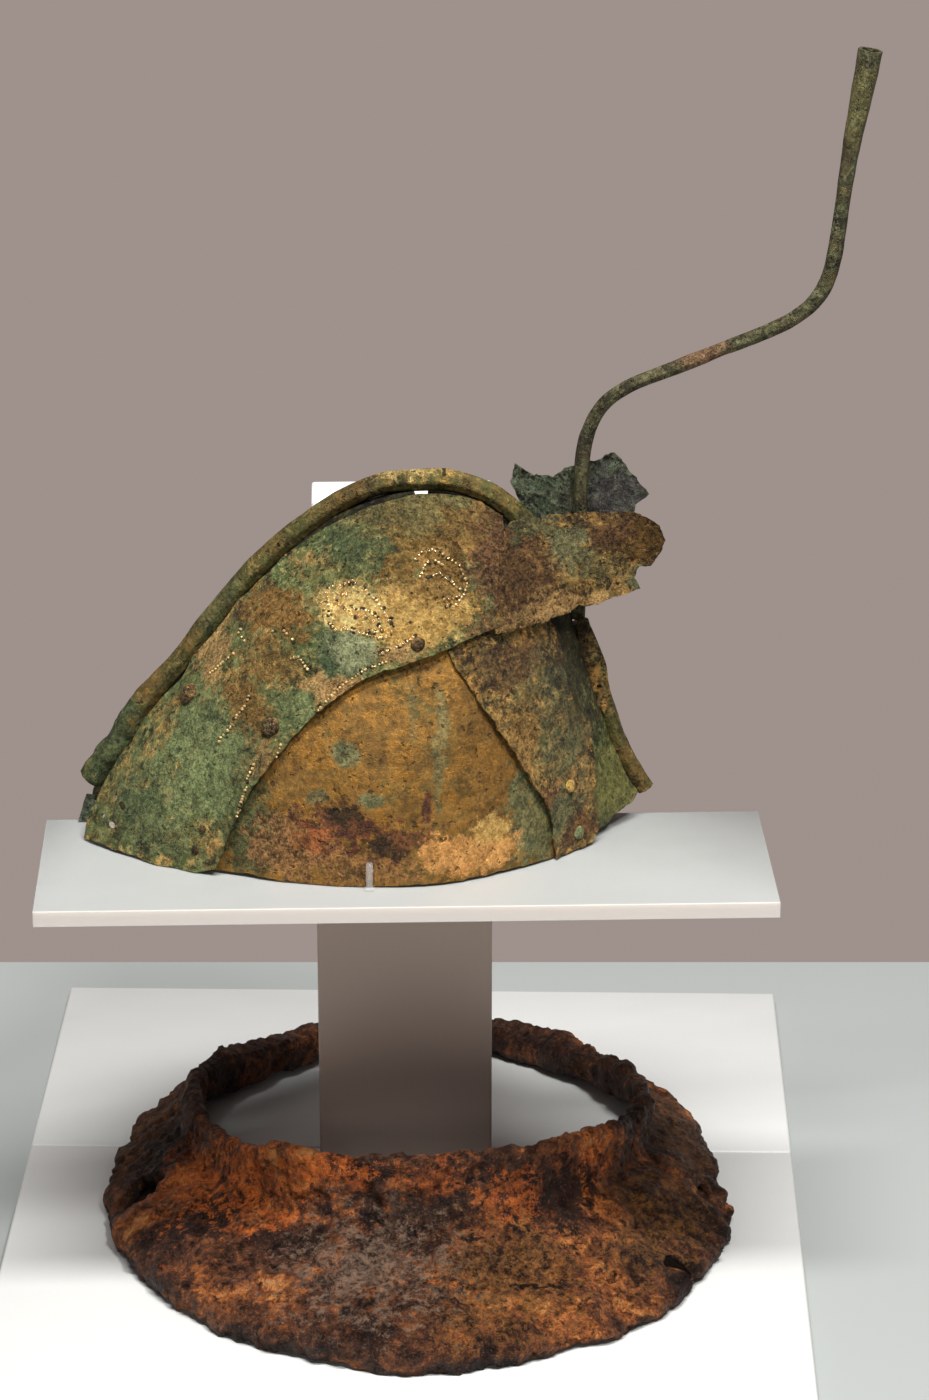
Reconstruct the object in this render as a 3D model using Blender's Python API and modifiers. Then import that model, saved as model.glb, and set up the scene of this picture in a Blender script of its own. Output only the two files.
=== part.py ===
"""Crested bronze helmet with its iron brim, on a plain display stand.

The crown is a set of thin bronze sheets laid over one another on a common
hull. The hull is a row of upright sections along the helmet: each section
runs from the foot, at half the width, up to the ridge. Sheets, rivets and
strips are all placed on that hull, so one table drives the whole crown.
Lengths in the tables are millimetres; the scene is in metres.
"""
import bmesh
import bpy
import math
from mathutils import Matrix, Vector
from mathutils.geometry import delaunay_2d_cdt

MM = 0.001
OBJECT_NAME = "crested_helmet"
CUTTER_NAME = "cutters"
SEAT_NAME = "crown_seat"

# Stand, millimetres.
BASE_WIDTH = 344.0
BASE_THICK = 6.0
BASE_TURN_DEG = -1.2
BACK_PLATE_Y = (27.3, 195.0)
FRONT_PLATE_Y = (-205.0, 27.0)
SHELF_TOP = 196.0
SHELF_THICK = 6.5
SHELF_X = (-152.0, 148.0)
SHELF_FRONT = -94.0
SHELF_BACK = 1.0
TONGUE_REACH = 84.0
TONGUE_X = (-112.0, 84.0)
TONGUE_STEPS = 18
POST_X = (-39.0, 36.0)
POST_Y = (9.0, 35.0)
POST_TOP = 137.5
TOUCH_GAP = 0.3
EDGE_ROUND = 1.2

# The crown's own frame on the stand: middle plane and turn.
CROWN_MIDDLE_Y = -37.5
CROWN_TURN_DEG = 1.8

# Bronze sheet.
SHEET_THICK = 1.0
LAYER_STEP = 1.5
SECTION_POWER = 1.8
SHEET_GRID = 8.0
EDGE_STEP = 6.0
UPRIGHT_SCALE = 100.0

# Hull sections: x along the helmet, ridge height, half width at the foot.
HULL = (
    (-135.0, 4.0, 6.0),
    (-131.0, 11.0, 18.0),
    (-125.0, 18.5, 25.0),
    (-115.0, 34.0, 33.0),
    (-98.0, 58.0, 46.0),
    (-84.0, 75.0, 53.5),
    (-69.0, 95.0, 60.0),
    (-56.0, 110.0, 65.5),
    (-42.0, 122.5, 69.0),
    (-25.0, 134.5, 72.5),
    (-3.0, 143.5, 73.5),
    (14.0, 144.0, 71.0),
    (26.0, 140.0, 66.5),
    (42.0, 129.0, 57.5),
    (55.0, 110.0, 49.0),
    (67.5, 81.0, 37.0),
    (74.0, 61.0, 29.5),
    (77.0, 49.0, 26.0),
    (82.0, 34.0, 19.0),
    (89.5, 19.5, 12.0),
    (95.5, 9.0, 6.0),
    (98.0, 5.0, 2.0),
)

# Sheet outlines in side view, as (x along the helmet, height). A sheet is a
# ring of edges; each edge is a smooth run through its points.
UPPER_FOOT = ((-77.0, 3.0), (-84.0, 0.6), (-103.0, 0.4), (-115.0, 1.4), (-131.0, 0.6))
UPPER_BACK = ((-131.0, 0.6), (-130.5, 4.0), (-126.5, 13.0), (-116.0, 30.5), (-102.0, 50.5))
UPPER_RIDGE = (
    (-102.0, 50.5), (-88.0, 68.5), (-72.0, 89.5), (-58.0, 106.0), (-44.0, 118.8),
    (-24.0, 132.8), (-3.0, 141.0), (14.0, 142.0), (30.0, 136.8), (36.0, 132.5),
)
UPPER_FRONT = ((36.0, 132.5), (37.5, 124.0), (42.0, 112.0), (49.0, 100.0))
UPPER_LOWER = (
    (49.0, 100.0), (29.0, 98.0), (15.0, 94.0), (-7.0, 87.0), (-18.0, 83.0),
    (-33.0, 72.0), (-41.0, 65.0), (-50.0, 54.0), (-59.0, 42.0), (-68.0, 27.0), (-77.0, 3.0),
)

UNDER_LAYER = 0.85
UNDER_RIDGE = ((-80.0, 79.0), (-56.0, 108.8), (-44.0, 120.0), (-25.0, 133.6), (-6.0, 141.8), (12.0, 143.2))
UNDER_FRONT = ((12.0, 143.2), (22.0, 138.0), (24.0, 128.0))
UNDER_LOWER = ((24.0, 128.0), (-3.0, 129.0), (-25.0, 120.0), (-44.0, 105.0), (-62.0, 86.0), (-82.0, 62.0))
UNDER_BACK = ((-82.0, 62.0), (-80.0, 79.0))

GOLD_FOOT = (
    (59.0, 0.8), (42.0, 1.4), (24.0, 1.2), (1.0, 1.0), (-18.0, 0.5), (-45.0, 0.3), (-62.0, 1.6), (-84.0, 1.2),
)
GOLD_BACK = ((-84.0, 1.2), (-80.0, 22.0), (-66.0, 50.0), (-48.0, 70.0), (-26.0, 88.0))
GOLD_TOP = ((-26.0, 88.0), (-6.0, 98.0), (16.0, 103.0), (30.0, 104.0))
GOLD_FRONT = ((30.0, 104.0), (44.0, 72.0), (56.0, 42.0), (61.0, 22.0), (59.0, 0.8))

FRONT_FOOT = ((76.0, 5.0), (73.0, 1.4), (66.0, 0.6), (58.0, 1.0))
FRONT_BACK = ((58.0, 1.0), (56.0, 19.0), (54.0, 25.0))
FRONT_SEAM = ((54.0, 25.0), (35.0, 60.0), (15.0, 92.0))
FRONT_TOP = ((15.0, 92.0), (14.0, 102.0), (30.0, 106.0), (48.0, 100.0), (58.0, 92.0))
FRONT_EDGE = ((58.0, 92.0), (61.0, 80.0), (63.0, 68.0), (66.0, 59.0), (71.5, 51.0))
FRONT_DROP = ((71.5, 51.0), (73.5, 34.0), (74.0, 20.0), (76.0, 5.0))

WALL_FOOT = (
    (94.5, 9.8), (92.5, 8.6), (88.0, 6.4), (85.0, 6.6), (83.0, 3.6), (79.0, 3.0), (75.0, 4.4), (70.0, 1.0),
)
WALL_BACK = ((70.0, 1.0), (68.0, 24.0), (64.0, 48.0), (56.0, 74.0), (52.0, 96.0))
WALL_TOP = ((52.0, 96.0), (57.0, 98.0), (62.0, 93.5))
WALL_RIDGE = ((62.0, 93.5), (67.0, 80.8), (73.0, 63.0), (76.5, 50.2), (81.5, 34.7), (89.0, 19.8), (94.5, 9.8))

# The front lobe leaves the hull and runs on forward as a free tongue.
LOBE_SEAM = ((34.0, 98.2), (36.0, 108.0), (37.0, 121.0), (40.0, 133.0))
LOBE_TOP = (
    (40.0, 133.0), (43.0, 135.5), (58.0, 136.0), (70.0, 136.0), (82.0, 137.0), (93.0, 136.0), (97.0, 135.0),
)
LOBE_TIP = (
    (97.0, 135.0), (103.0, 131.0), (105.5, 125.0), (104.0, 121.0), (101.0, 118.0), (99.0, 115.5), (94.5, 116.0),
)
LOBE_NOTCH = ((94.5, 116.0), (93.0, 111.0), (95.0, 107.0))
LOBE_LOWER = ((95.0, 107.0), (73.0, 101.0), (55.0, 98.5), (45.0, 97.6), (34.0, 98.2))
LOBE_LEAVES = 40.0
LOBE_FREE = 75.0
LOBE_HOLD_X = 45.0
LOBE_LEAST_FACING = 0.36
LOBE_TOP_Y = 6.0
LOBE_LEAN = 0.35
LOBE_TOP_Z = 138.0

# Ragged far tongue: the mate of the lobe, standing up behind the crest rod.
FAR_TONGUE = (
    (50.0, 127.0), (48.5, 134.0), (43.0, 145.0), (45.0, 153.0), (50.0, 150.0), (53.0, 148.5), (60.0, 148.5),
    (63.0, 151.0), (69.0, 154.0), (76.0, 156.0), (80.0, 156.5), (82.0, 159.0), (86.0, 159.5), (89.0, 156.0),
    (93.0, 150.0), (99.0, 141.0), (94.0, 135.0), (93.0, 128.0), (88.0, 112.0), (74.0, 104.0), (60.0, 110.0),
)
FAR_TONGUE_Y = 3.3
FAR_TONGUE_CLEAR_Y = 6.2

# Far side: the lower plate is whole, the upper sheet is broken off ragged.
FAR_TORN = (
    (-126.5, 13.0), (-112.0, 34.0), (-96.0, 54.0), (-84.0, 68.0), (-78.0, 60.0), (-70.0, 66.0), (-62.0, 76.0),
    (-52.0, 72.0), (-46.0, 84.0), (-34.0, 86.0),
)
FAR_SHEET_LOWER = (
    (-34.0, 86.0), (-33.0, 72.0), (-41.0, 65.0), (-50.0, 54.0), (-59.0, 42.0), (-68.0, 27.0), (-77.0, 3.0),
)
FAR_GOLD_TORN = (
    (-58.0, 60.0), (-48.0, 66.0), (-40.0, 78.0), (-28.0, 74.0), (-20.0, 84.0), (-6.0, 80.0), (4.0, 88.0),
    (16.0, 84.0), (24.0, 92.0), (36.0, 88.0),
)
FAR_GOLD_BACK = ((-84.0, 1.2), (-80.0, 22.0), (-66.0, 50.0), (-58.0, 60.0))
FAR_GOLD_FRONT = ((36.0, 88.0), (44.0, 72.0), (56.0, 42.0), (61.0, 22.0), (59.0, 0.8))
FAR_FRONT_SEAM = ((54.0, 25.0), (35.0, 60.0), (26.0, 76.0))
FAR_FRONT_TORN = ((26.0, 76.0), (34.0, 84.0), (42.0, 80.0), (50.0, 88.0), (61.0, 80.0))
FAR_FRONT_EDGE = ((61.0, 80.0), (63.0, 68.0), (66.0, 59.0), (71.5, 51.0))

# Crest tube along the ridge, from the back end to behind the front lobe.
TUBE_RADIUS = 4.7
TUBE_X = (-127.5, 49.0)
TUBE_STEP = 5.5
TUBE_WALL = 1.6
TUBE_BORE_LENGTH = 16.0
FRONT_TUBE_RADIUS = 3.8
FRONT_TUBE_X = (66.0, 97.5)
FRONT_TUBE_CLEAR = 0.75
RIDGE_STRIP_BACK_X = (-128.0, -5.0)
RIDGE_STRIP_FRONT_X = (9.0, 50.0)
RIDGE_STRIP_HALF = 7.0
RIDGE_STRIP_ACROSS = 6

# Crest rod: x, height and radius; it ends in a small flared socket.
ROD_PATH = (
    (71.2, 104.0, 3.0), (71.6, 150.0, 3.0), (73.4, 167.0, 3.0), (79.5, 180.0, 3.0),
    (90.5, 188.4, 3.0), (108.3, 195.6, 3.0), (129.3, 204.1, 3.0), (150.2, 212.5, 3.0), (163.5, 221.0, 3.1),
    (171.0, 233.5, 3.2), (173.6, 250.0, 3.1), (175.2, 264.5, 3.1), (178.1, 287.9, 3.6), (181.9, 311.1, 4.6),
    (184.3, 326.0, 5.0),
)
ROD_FOOT_GAP = 1.6
SOCKET_RADIUS = 3.6
SOCKET_DEPTH = 9.0

# Small pieces on the crown.
TUBE_FLAP = (
    (70.5, 91.0), (74.5, 90.0), (78.0, 79.0), (83.0, 68.0), (84.5, 55.0), (81.5, 47.0), (77.5, 54.0),
    (73.5, 66.0), (70.0, 79.0),
)
TUBE_FLAP_Y = -4.2
BACK_TAB_Y = -1.5
BACK_TAB = ((-138.5, 0.8), (-134.5, 12.5), (-131.2, 12.0), (-131.6, 0.6))

# Rivets: name, x, height, head radius, how many layers they pass, far side.
RIVETS = (
    ("rivet_ridge", -87.0, 63.0, 4.6, 2, 1),
    ("rivet_side", -55.0, 62.0, 4.2, 2, 1),
    ("rivet_overlap", 3.0, 96.0, 3.0, 2, 1),
    ("rivet_corner", -83.0, 18.0, 1.7, 2, 1),
    ("rivet_foot", -86.0, 9.0, 1.7, 2, 1),
    ("rivet_front_upper", 64.0, 29.0, 2.8, 1, 1),
    ("rivet_front_lower", 67.5, 8.0, 2.8, 1, 1),
    ("rivet_far_ridge", -92.0, 52.0, 4.0, 2, -1),
    ("rivet_far_front", 64.0, 29.0, 2.8, 1, -1),
)

# Holes through the near upper sheet: x, height, radius.
SHEET_HOLES = ((-123.0, 10.5, 1.3), (-118.0, 18.5, 1.2))
FLAP_HOLES = ((73.5, 79.5, 1.1), (79.5, 60.0, 1.1))

# Iron brim: a plan oval with an upright collar and a flared skirt.
BRIM_CENTRE = (5.0, 17.0)
BRIM_HALF = (97.0, 119.0)
BRIM_THICK = 5.0
BRIM_AROUND = 72
# Azimuth (0 = +X, 90 = back), collar top, crease height, skirt reach, foot.
BRIM = (
    (0.0, 40.0, 24.0, 30.0, 6.3),
    (45.0, 23.0, 11.0, 16.0, 6.3),
    (90.0, 18.0, 9.0, 12.0, 6.3),
    (135.0, 24.0, 12.0, 16.0, 6.3),
    (180.0, 44.0, 24.0, 30.0, 6.3),
    (215.0, 52.0, 30.0, 48.0, 6.6),
    (240.0, 65.0, 33.0, 62.0, 6.6),
    (270.0, 70.0, 36.0, 70.0, 6.3),
    (300.0, 68.0, 36.0, 67.0, 6.3),
    (330.0, 55.0, 31.0, 52.0, 6.3),
    (360.0, 40.0, 24.0, 30.0, 6.3),
)
# Collar: step outwards, share of the drop from its top to the crease. Skirt:
# share of its reach, share of the drop from the crease to the foot.
BRIM_COLLAR = ((0.0, 0.0), (0.4, 0.3), (1.2, 0.65), (3.5, 1.0))
BRIM_SKIRT = ((0.28, 0.2), (0.62, 0.58), (1.0, 1.0))
# Rust holes in the brim: azimuth, share of the skirt, width, height, turn.
BRIM_HOLE_DEPTH = 30.0
BRIM_HOLES = (
    (204.0, 0.62, 19.0, 24.0, 38.0),
    (-20.0, 0.72, 16.0, 7.0, 15.0),
    (-42.0, 0.84, 9.0, 12.0, 20.0),
)

# Clear peg that stops the crown from sliding on the shelf.
PEG_X = -17.0
PEG_RADIUS = 1.4
PEG_HEIGHT = 12.0
PEG_FOOT_RADIUS = 2.2
PEG_STAND_OFF = 0.5

# Finish: colour, roughness, metallic.
FINISHES = {
    "patina_bronze": ((0.13, 0.15, 0.07, 1.0), 0.6, 0.5),
    "green_bronze": ((0.10, 0.14, 0.06, 1.0), 0.7, 0.4),
    "gold_bronze": ((0.28, 0.17, 0.05, 1.0), 0.45, 0.7),
    "mottled_bronze": ((0.19, 0.14, 0.07, 1.0), 0.6, 0.5),
    "brown_bronze": ((0.15, 0.09, 0.05, 1.0), 0.6, 0.5),
    "dark_bronze": ((0.06, 0.07, 0.05, 1.0), 0.8, 0.3),
    "tube_bronze": ((0.14, 0.11, 0.05, 1.0), 0.5, 0.6),
    "rod_bronze": ((0.09, 0.09, 0.05, 1.0), 0.6, 0.5),
    "rivet_bronze": ((0.16, 0.11, 0.06, 1.0), 0.6, 0.5),
    "rusty_iron": ((0.16, 0.05, 0.02, 1.0), 0.9, 0.2),
    "white_acrylic": ((0.78, 0.77, 0.75, 1.0), 0.4, 0.0),
    "frosted_acrylic": ((0.74, 0.73, 0.71, 1.0), 0.35, 0.0),
    "clear_acrylic": ((0.8, 0.8, 0.8, 1.0), 0.1, 0.0),
}


def smooth_value(table, column, x):
    """Read a column of a table at x, smoothly and without overshoot."""
    xs = [row[0] for row in table]
    ys = [row[column] for row in table]
    x = min(max(x, xs[0]), xs[-1])
    rises = [(ys[i + 1] - ys[i]) / (xs[i + 1] - xs[i]) for i in range(len(xs) - 1)]

    def slope(i):
        if i == 0 or i == len(xs) - 1:
            return rises[min(i, len(rises) - 1)]
        before, after = rises[i - 1], rises[i]
        return 0.0 if before * after <= 0.0 else 2.0 * before * after / (before + after)

    i = next((k for k in range(len(xs) - 1) if x <= xs[k + 1]), len(xs) - 2)
    width = xs[i + 1] - xs[i]
    s = (x - xs[i]) / width
    return (
        (2 * s**3 - 3 * s**2 + 1) * ys[i] + (s**3 - 2 * s**2 + s) * width * slope(i)
        + (3 * s**2 - 2 * s**3) * ys[i + 1] + (s**3 - s**2) * width * slope(i + 1)
    )


def blend(low, high, x):
    s = min(max((x - low) / (high - low), 0.0), 1.0)
    return s * s * (3.0 - 2.0 * s)


def hull_point(x, turn):
    """Hull point at x; turn 0 is the foot, a quarter circle is the ridge."""
    ridge = smooth_value(HULL, 1, x)
    half = smooth_value(HULL, 2, x)
    share = 2.0 / SECTION_POWER
    side = -1.0 if abs(turn) <= math.pi / 2 else 1.0
    y = side * half * abs(math.cos(turn)) ** share
    return Vector((x, y, ridge * max(math.sin(turn), 0.0) ** share))


def hull_turn(x, z):
    """The turn at which the section at x reaches height z."""
    ridge = smooth_value(HULL, 1, x)
    share = min(max(z / ridge, 0.0), 0.9995)
    return math.asin(share ** (SECTION_POWER / 2.0))


def lifted_hull(x, turn, lift):
    """Hull point moved outwards along the surface normal."""
    small = 0.01
    near = min(max(turn, 2 * small), math.pi - 2 * small)
    along = hull_point(x + 0.5, near) - hull_point(x - 0.5, near)
    up = hull_point(x, near + small) - hull_point(x, near - small)
    return hull_point(x, turn) + along.cross(up).normalized() * lift


def run(points, step=EDGE_STEP):
    """Points along a smooth curve through the given ones, last left out."""
    points = [Vector(p) for p in points]
    if len(points) == 2:
        count = max(1, round((points[1] - points[0]).length / step))
        return [points[0].lerp(points[1], k / count) for k in range(count)]
    ends = [points[0] * 2 - points[1]] + points + [points[-1] * 2 - points[-2]]
    found = []
    for i in range(1, len(ends) - 2):
        a, b, c, d = ends[i - 1:i + 3]
        count = max(1, round((c - b).length / step))
        for k in range(count):
            s = k / count
            found.append(0.5 * (
                2 * b + (c - a) * s + (2 * a - 5 * b + 4 * c - d) * s**2 + (3 * b - 3 * c + d - a) * s**3
            ))
    return found


def outline(*edges):
    return [point for edge in edges for point in run(edge)]


def corners(points):
    """A closed outline whose points are all corners."""
    return [p for a, b in zip(points, points[1:] + points[:1]) for p in run((a, b))]


def is_inside(point, ring, margin):
    """True for a point in the ring and at least margin away from its edge."""
    inside = False
    for a, b in zip(ring, ring[1:] + ring[:1]):
        if (a.y > point.y) != (b.y > point.y):
            cross = (b.x - a.x) * (point.y - a.y) / (b.y - a.y) + a.x
            inside ^= point.x < cross
        edge = b - a
        t = min(max((point - a).dot(edge) / max(edge.length_squared, 1e-9), 0.0), 1.0)
        if (a + edge * t - point).length < margin:
            return False
    return inside


def filled(ring, grid):
    """Triangles that fill a flat ring, with an even grid of points inside."""
    low_x = min(p.x for p in ring)
    low_y = min(p.y for p in ring)
    across = int((max(p.x for p in ring) - low_x) / grid) + 2
    up = int((max(p.y for p in ring) - low_y) / grid) + 2
    inner = []
    for j in range(up):
        for i in range(across):
            point = Vector((low_x + (i + 0.5 * (j % 2)) * grid, low_y + j * grid * 0.87))
            if is_inside(point, ring, grid * 0.5):
                inner.append(point)
    face = list(range(len(ring)))
    points, _, faces, _, _, _ = delaunay_2d_cdt(ring + inner, [], [face], 1, 1e-4)
    return points, faces


def new_object(name, mesh, material):
    thing = bpy.data.objects.new(name, mesh)
    bpy.data.collections[OBJECT_NAME].objects.link(thing)
    mesh.materials.append(bpy.data.materials[material])
    return thing


def mesh_from(name, points, faces, outward):
    """A mesh in metres whose faces look along outward(centre)."""
    mesh = bpy.data.meshes.new(name)
    mesh.from_pydata([p * MM for p in points], [], faces)
    work = bmesh.new()
    work.from_mesh(mesh)
    for face in work.faces:
        if face.normal.dot(outward(face.calc_center_median() / MM)) < 0.0:
            face.normal_flip()
    work.to_mesh(mesh)
    work.free()
    return mesh


def thicken(thing, thickness, even=True):
    solid = thing.modifiers.new("thickness", "SOLIDIFY")
    solid.thickness = thickness * MM
    solid.offset = 1.0
    solid.use_even_offset = even
    thing.data.shade_smooth()
    thing.data.set_sharp_from_angle(angle=math.radians(40.0))
    return solid


def hull_sheet(name, ring, layer, material, side=1):
    """A sheet cut to a side-view ring and laid on the hull at a layer."""
    flat = [Vector((p.x, hull_turn(p.x, p.y) * UPRIGHT_SCALE)) for p in ring]
    points, faces = filled(flat, SHEET_GRID)
    laid = [lifted_hull(p.x, p.y / UPRIGHT_SCALE, layer * LAYER_STEP) for p in points]
    laid = [Vector((p.x, side * p.y, p.z)) for p in laid]
    mesh = mesh_from(name, laid, faces, lambda c: Vector((c.x - 5.0, c.y * 3.0, c.z * 0.4)))
    sheet = new_object(name, mesh, material)
    thicken(sheet, SHEET_THICK)
    seat(sheet)
    return sheet


def lobe_y(x, z):
    """Distance of the front lobe from the middle plane."""
    hold_x = min(x, LOBE_HOLD_X)
    turn = hull_turn(hold_x, z)
    place = hull_point(hold_x, turn)
    facing_out = max(place.y - lifted_hull(hold_x, turn, 1.0).y, LOBE_LEAST_FACING)
    on_hull = place.y - 3 * LAYER_STEP / facing_out
    free = -(LOBE_TOP_Y + LOBE_LEAN * max(LOBE_TOP_Z - z, 0.0))
    share = blend(LOBE_LEAVES, LOBE_FREE, x)
    return min((1.0 - share) * on_hull + share * free, -LOBE_TOP_Y)


def far_tongue_y(x, z):
    return FAR_TONGUE_CLEAR_Y + (FAR_TONGUE_Y - FAR_TONGUE_CLEAR_Y) * blend(54.0, 66.0, x)


def standing_sheet(name, ring, depth, facing, material):
    """A sheet cut to a side-view ring and stood at depth(x, z)."""
    points, faces = filled(ring, SHEET_GRID)
    laid = [Vector((p.x, depth(p.x, p.y), p.y)) for p in points]
    mesh = mesh_from(name, laid, faces, lambda c: Vector((0.0, facing, 0.0)))
    sheet = new_object(name, mesh, material)
    thicken(sheet, SHEET_THICK)
    seat(sheet)
    return sheet


def seat(thing):
    """Put a piece of the crown in the crown's place on the stand."""
    thing.parent = bpy.data.objects[SEAT_NAME]


def round_bar(name, path, material, cuts=()):
    """A round bar through (place, radius) pairs, as one closed mesh."""
    curve = bpy.data.curves.new(name, "CURVE")
    curve.dimensions = "3D"
    curve.bevel_depth = MM
    curve.bevel_resolution = 2
    curve.use_fill_caps = True
    spline = curve.splines.new("POLY")
    spline.points.add(len(path) - 1)
    for point, (place, radius) in zip(spline.points, path):
        point.co = (*(place * MM), 1.0)
        point.radius = radius
    wire = bpy.data.objects.new(name + "_curve", curve)
    bpy.context.scene.collection.objects.link(wire)
    shape = wire.evaluated_get(bpy.context.evaluated_depsgraph_get())
    mesh = bpy.data.meshes.new_from_object(shape)
    bpy.data.objects.remove(wire)
    bpy.data.curves.remove(curve)
    work = bmesh.new()
    work.from_mesh(mesh)
    bmesh.ops.remove_doubles(work, verts=work.verts, dist=0.00001)
    bmesh.ops.recalc_face_normals(work, faces=work.faces)
    work.to_mesh(mesh)
    work.free()
    mesh.name = name
    mesh.materials.clear()
    bar = new_object(name, mesh, material)
    mesh.shade_smooth()
    mesh.set_sharp_from_angle(angle=math.radians(45.0))
    for cutter in cuts:
        cut(bar, cutter)
    seat(bar)
    return bar


def ridge_path(ends, stand_off):
    """Places along the ridge line, held off it by an even distance."""
    places = []
    x = ends[0]
    while x < ends[1]:
        rise = smooth_value(HULL, 1, x + 0.5) - smooth_value(HULL, 1, x - 0.5)
        along = Vector((1.0, 0.0, rise)).normalized()
        out = Vector((-along.z, 0.0, along.x))
        places.append(Vector((x, 0.0, smooth_value(HULL, 1, x))) + out * stand_off)
        x += TUBE_STEP * along.x
    return places


def cut(thing, cutter):
    boolean = thing.modifiers.new("cut_" + cutter.name, "BOOLEAN")
    boolean.operation = "DIFFERENCE"
    boolean.solver = "EXACT"
    boolean.object = cutter


def as_cutter(thing):
    thing.hide_render = True
    thing.display_type = "WIRE"
    bpy.data.collections[CUTTER_NAME].objects.link(thing)
    return thing


def round_mesh(name, radius, length, sides=14):
    mesh = bpy.data.meshes.new(name)
    work = bmesh.new()
    bmesh.ops.create_cone(
        work, cap_ends=True, segments=sides, radius1=radius * MM, radius2=radius * MM, depth=length * MM
    )
    work.to_mesh(mesh)
    work.free()
    return mesh


def facing(direction):
    return direction.to_track_quat("Z", "Y").to_matrix().to_4x4()


def pin_cutter(name, place, direction, radius, length):
    """A round cutter centred on a place and lying along a direction."""
    cutter = as_cutter(bpy.data.objects.new(name, round_mesh(name, radius, length)))
    cutter.data.transform(Matrix.Translation(place * MM) @ facing(direction))
    seat(cutter)
    return cutter


def box_mesh(name, low, high):
    size = [(b - a) * MM for a, b in zip(low, high)]
    middle = [(a + b) / 2 * MM for a, b in zip(low, high)]
    mesh = bpy.data.meshes.new(name)
    work = bmesh.new()
    bmesh.ops.create_cube(work, size=1.0)
    bmesh.ops.scale(work, verts=work.verts, vec=size)
    bmesh.ops.translate(work, verts=work.verts, vec=middle)
    work.to_mesh(mesh)
    work.free()
    return mesh


def soften(thing, width=EDGE_ROUND):
    bevel = thing.modifiers.new("soft_edges", "BEVEL")
    bevel.width = width * MM
    bevel.segments = 2
    bevel.limit_method = "ANGLE"


def near_sheets():
    """The near side's sheets, from the innermost out."""
    hull_sheet("side_plate_lower", outline(GOLD_FOOT, GOLD_BACK, GOLD_TOP, GOLD_FRONT), 0, "gold_bronze")
    hull_sheet("front_wall", outline(WALL_FOOT, WALL_BACK, WALL_TOP, WALL_RIDGE), 0, "green_bronze")
    hull_sheet("front_plate", outline(FRONT_FOOT, FRONT_BACK, FRONT_SEAM, FRONT_TOP, FRONT_EDGE, FRONT_DROP),
               1, "mottled_bronze")
    ring = outline(UNDER_RIDGE, UNDER_FRONT, UNDER_LOWER, UNDER_BACK)
    hull_sheet("ridge_under_sheet", ring, UNDER_LAYER, "green_bronze")
    ring = outline(UPPER_FOOT, UPPER_BACK, UPPER_RIDGE, UPPER_FRONT, UPPER_LOWER)
    upper = hull_sheet("side_sheet_upper", ring, 2, "patina_bronze")
    for number, (x, z, radius) in enumerate(SHEET_HOLES):
        place = lifted_hull(x, hull_turn(x, z), 2 * LAYER_STEP)
        axis = lifted_hull(x, hull_turn(x, z), 3 * LAYER_STEP) - place
        cut(upper, pin_cutter("sheet_hole_%d" % number, place, axis, radius, 8.0))
    standing_sheet("front_lobe", outline(LOBE_SEAM, LOBE_TOP, LOBE_TIP, LOBE_NOTCH, LOBE_LOWER),
                   lobe_y, -1.0, "brown_bronze")


def far_sheets():
    """The far side: whole below, torn off where the stand's post rises."""
    ring = outline(GOLD_FOOT, FAR_GOLD_BACK) + corners_open(FAR_GOLD_TORN) + outline(FAR_GOLD_FRONT)
    hull_sheet("far_plate_lower", ring, 0, "gold_bronze", -1)
    ring = outline(UPPER_FOOT, UPPER_BACK[:3]) + corners_open(FAR_TORN) + outline(FAR_SHEET_LOWER)
    hull_sheet("far_sheet_upper", ring, 2, "green_bronze", -1)
    hull_sheet("far_front_wall", outline(WALL_FOOT, WALL_BACK, WALL_TOP, WALL_RIDGE), 0, "green_bronze", -1)
    ring = outline(FRONT_FOOT, FRONT_BACK, FAR_FRONT_SEAM) + corners_open(FAR_FRONT_TORN)
    ring += outline(FAR_FRONT_EDGE, FRONT_DROP)
    hull_sheet("far_front_plate", ring, 1, "mottled_bronze", -1)
    standing_sheet("far_tongue", corners([Vector(p) for p in FAR_TONGUE]), far_tongue_y, 1.0, "dark_bronze")


def corners_open(points):
    """Straight runs between corner points, without the last point."""
    points = [Vector(p) for p in points]
    return [p for a, b in zip(points, points[1:]) for p in run((a, b))]


def ridge_strip(name, ends):
    """A saddle of sheet that lies over the ridge, under the crest tube."""
    count = round((ends[1] - ends[0]) / EDGE_STEP)
    wide = RIDGE_STRIP_ACROSS + 1
    rows = []
    for i in range(count + 1):
        x = ends[0] + (ends[1] - ends[0]) * i / count
        half = RIDGE_STRIP_HALF / max(smooth_value(HULL, 2, x), RIDGE_STRIP_HALF + 1.0)
        reach = math.acos(min(half ** (SECTION_POWER / 2.0), 0.94))
        step = (math.pi - 2 * reach) / RIDGE_STRIP_ACROSS
        rows.append([lifted_hull(x, reach + step * k, 0.0) for k in range(wide)])
    points = [p for row in rows for p in row]
    starts = [wide * i + k for i in range(count) for k in range(RIDGE_STRIP_ACROSS)]
    faces = [(start, start + 1, start + wide + 1, start + wide) for start in starts]
    mesh = mesh_from(name, points, faces, lambda c: Vector((c.x - 5.0, c.y * 3.0, 60.0)))
    strip = new_object(name, mesh, "green_bronze")
    thicken(strip, SHEET_THICK)
    seat(strip)


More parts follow.
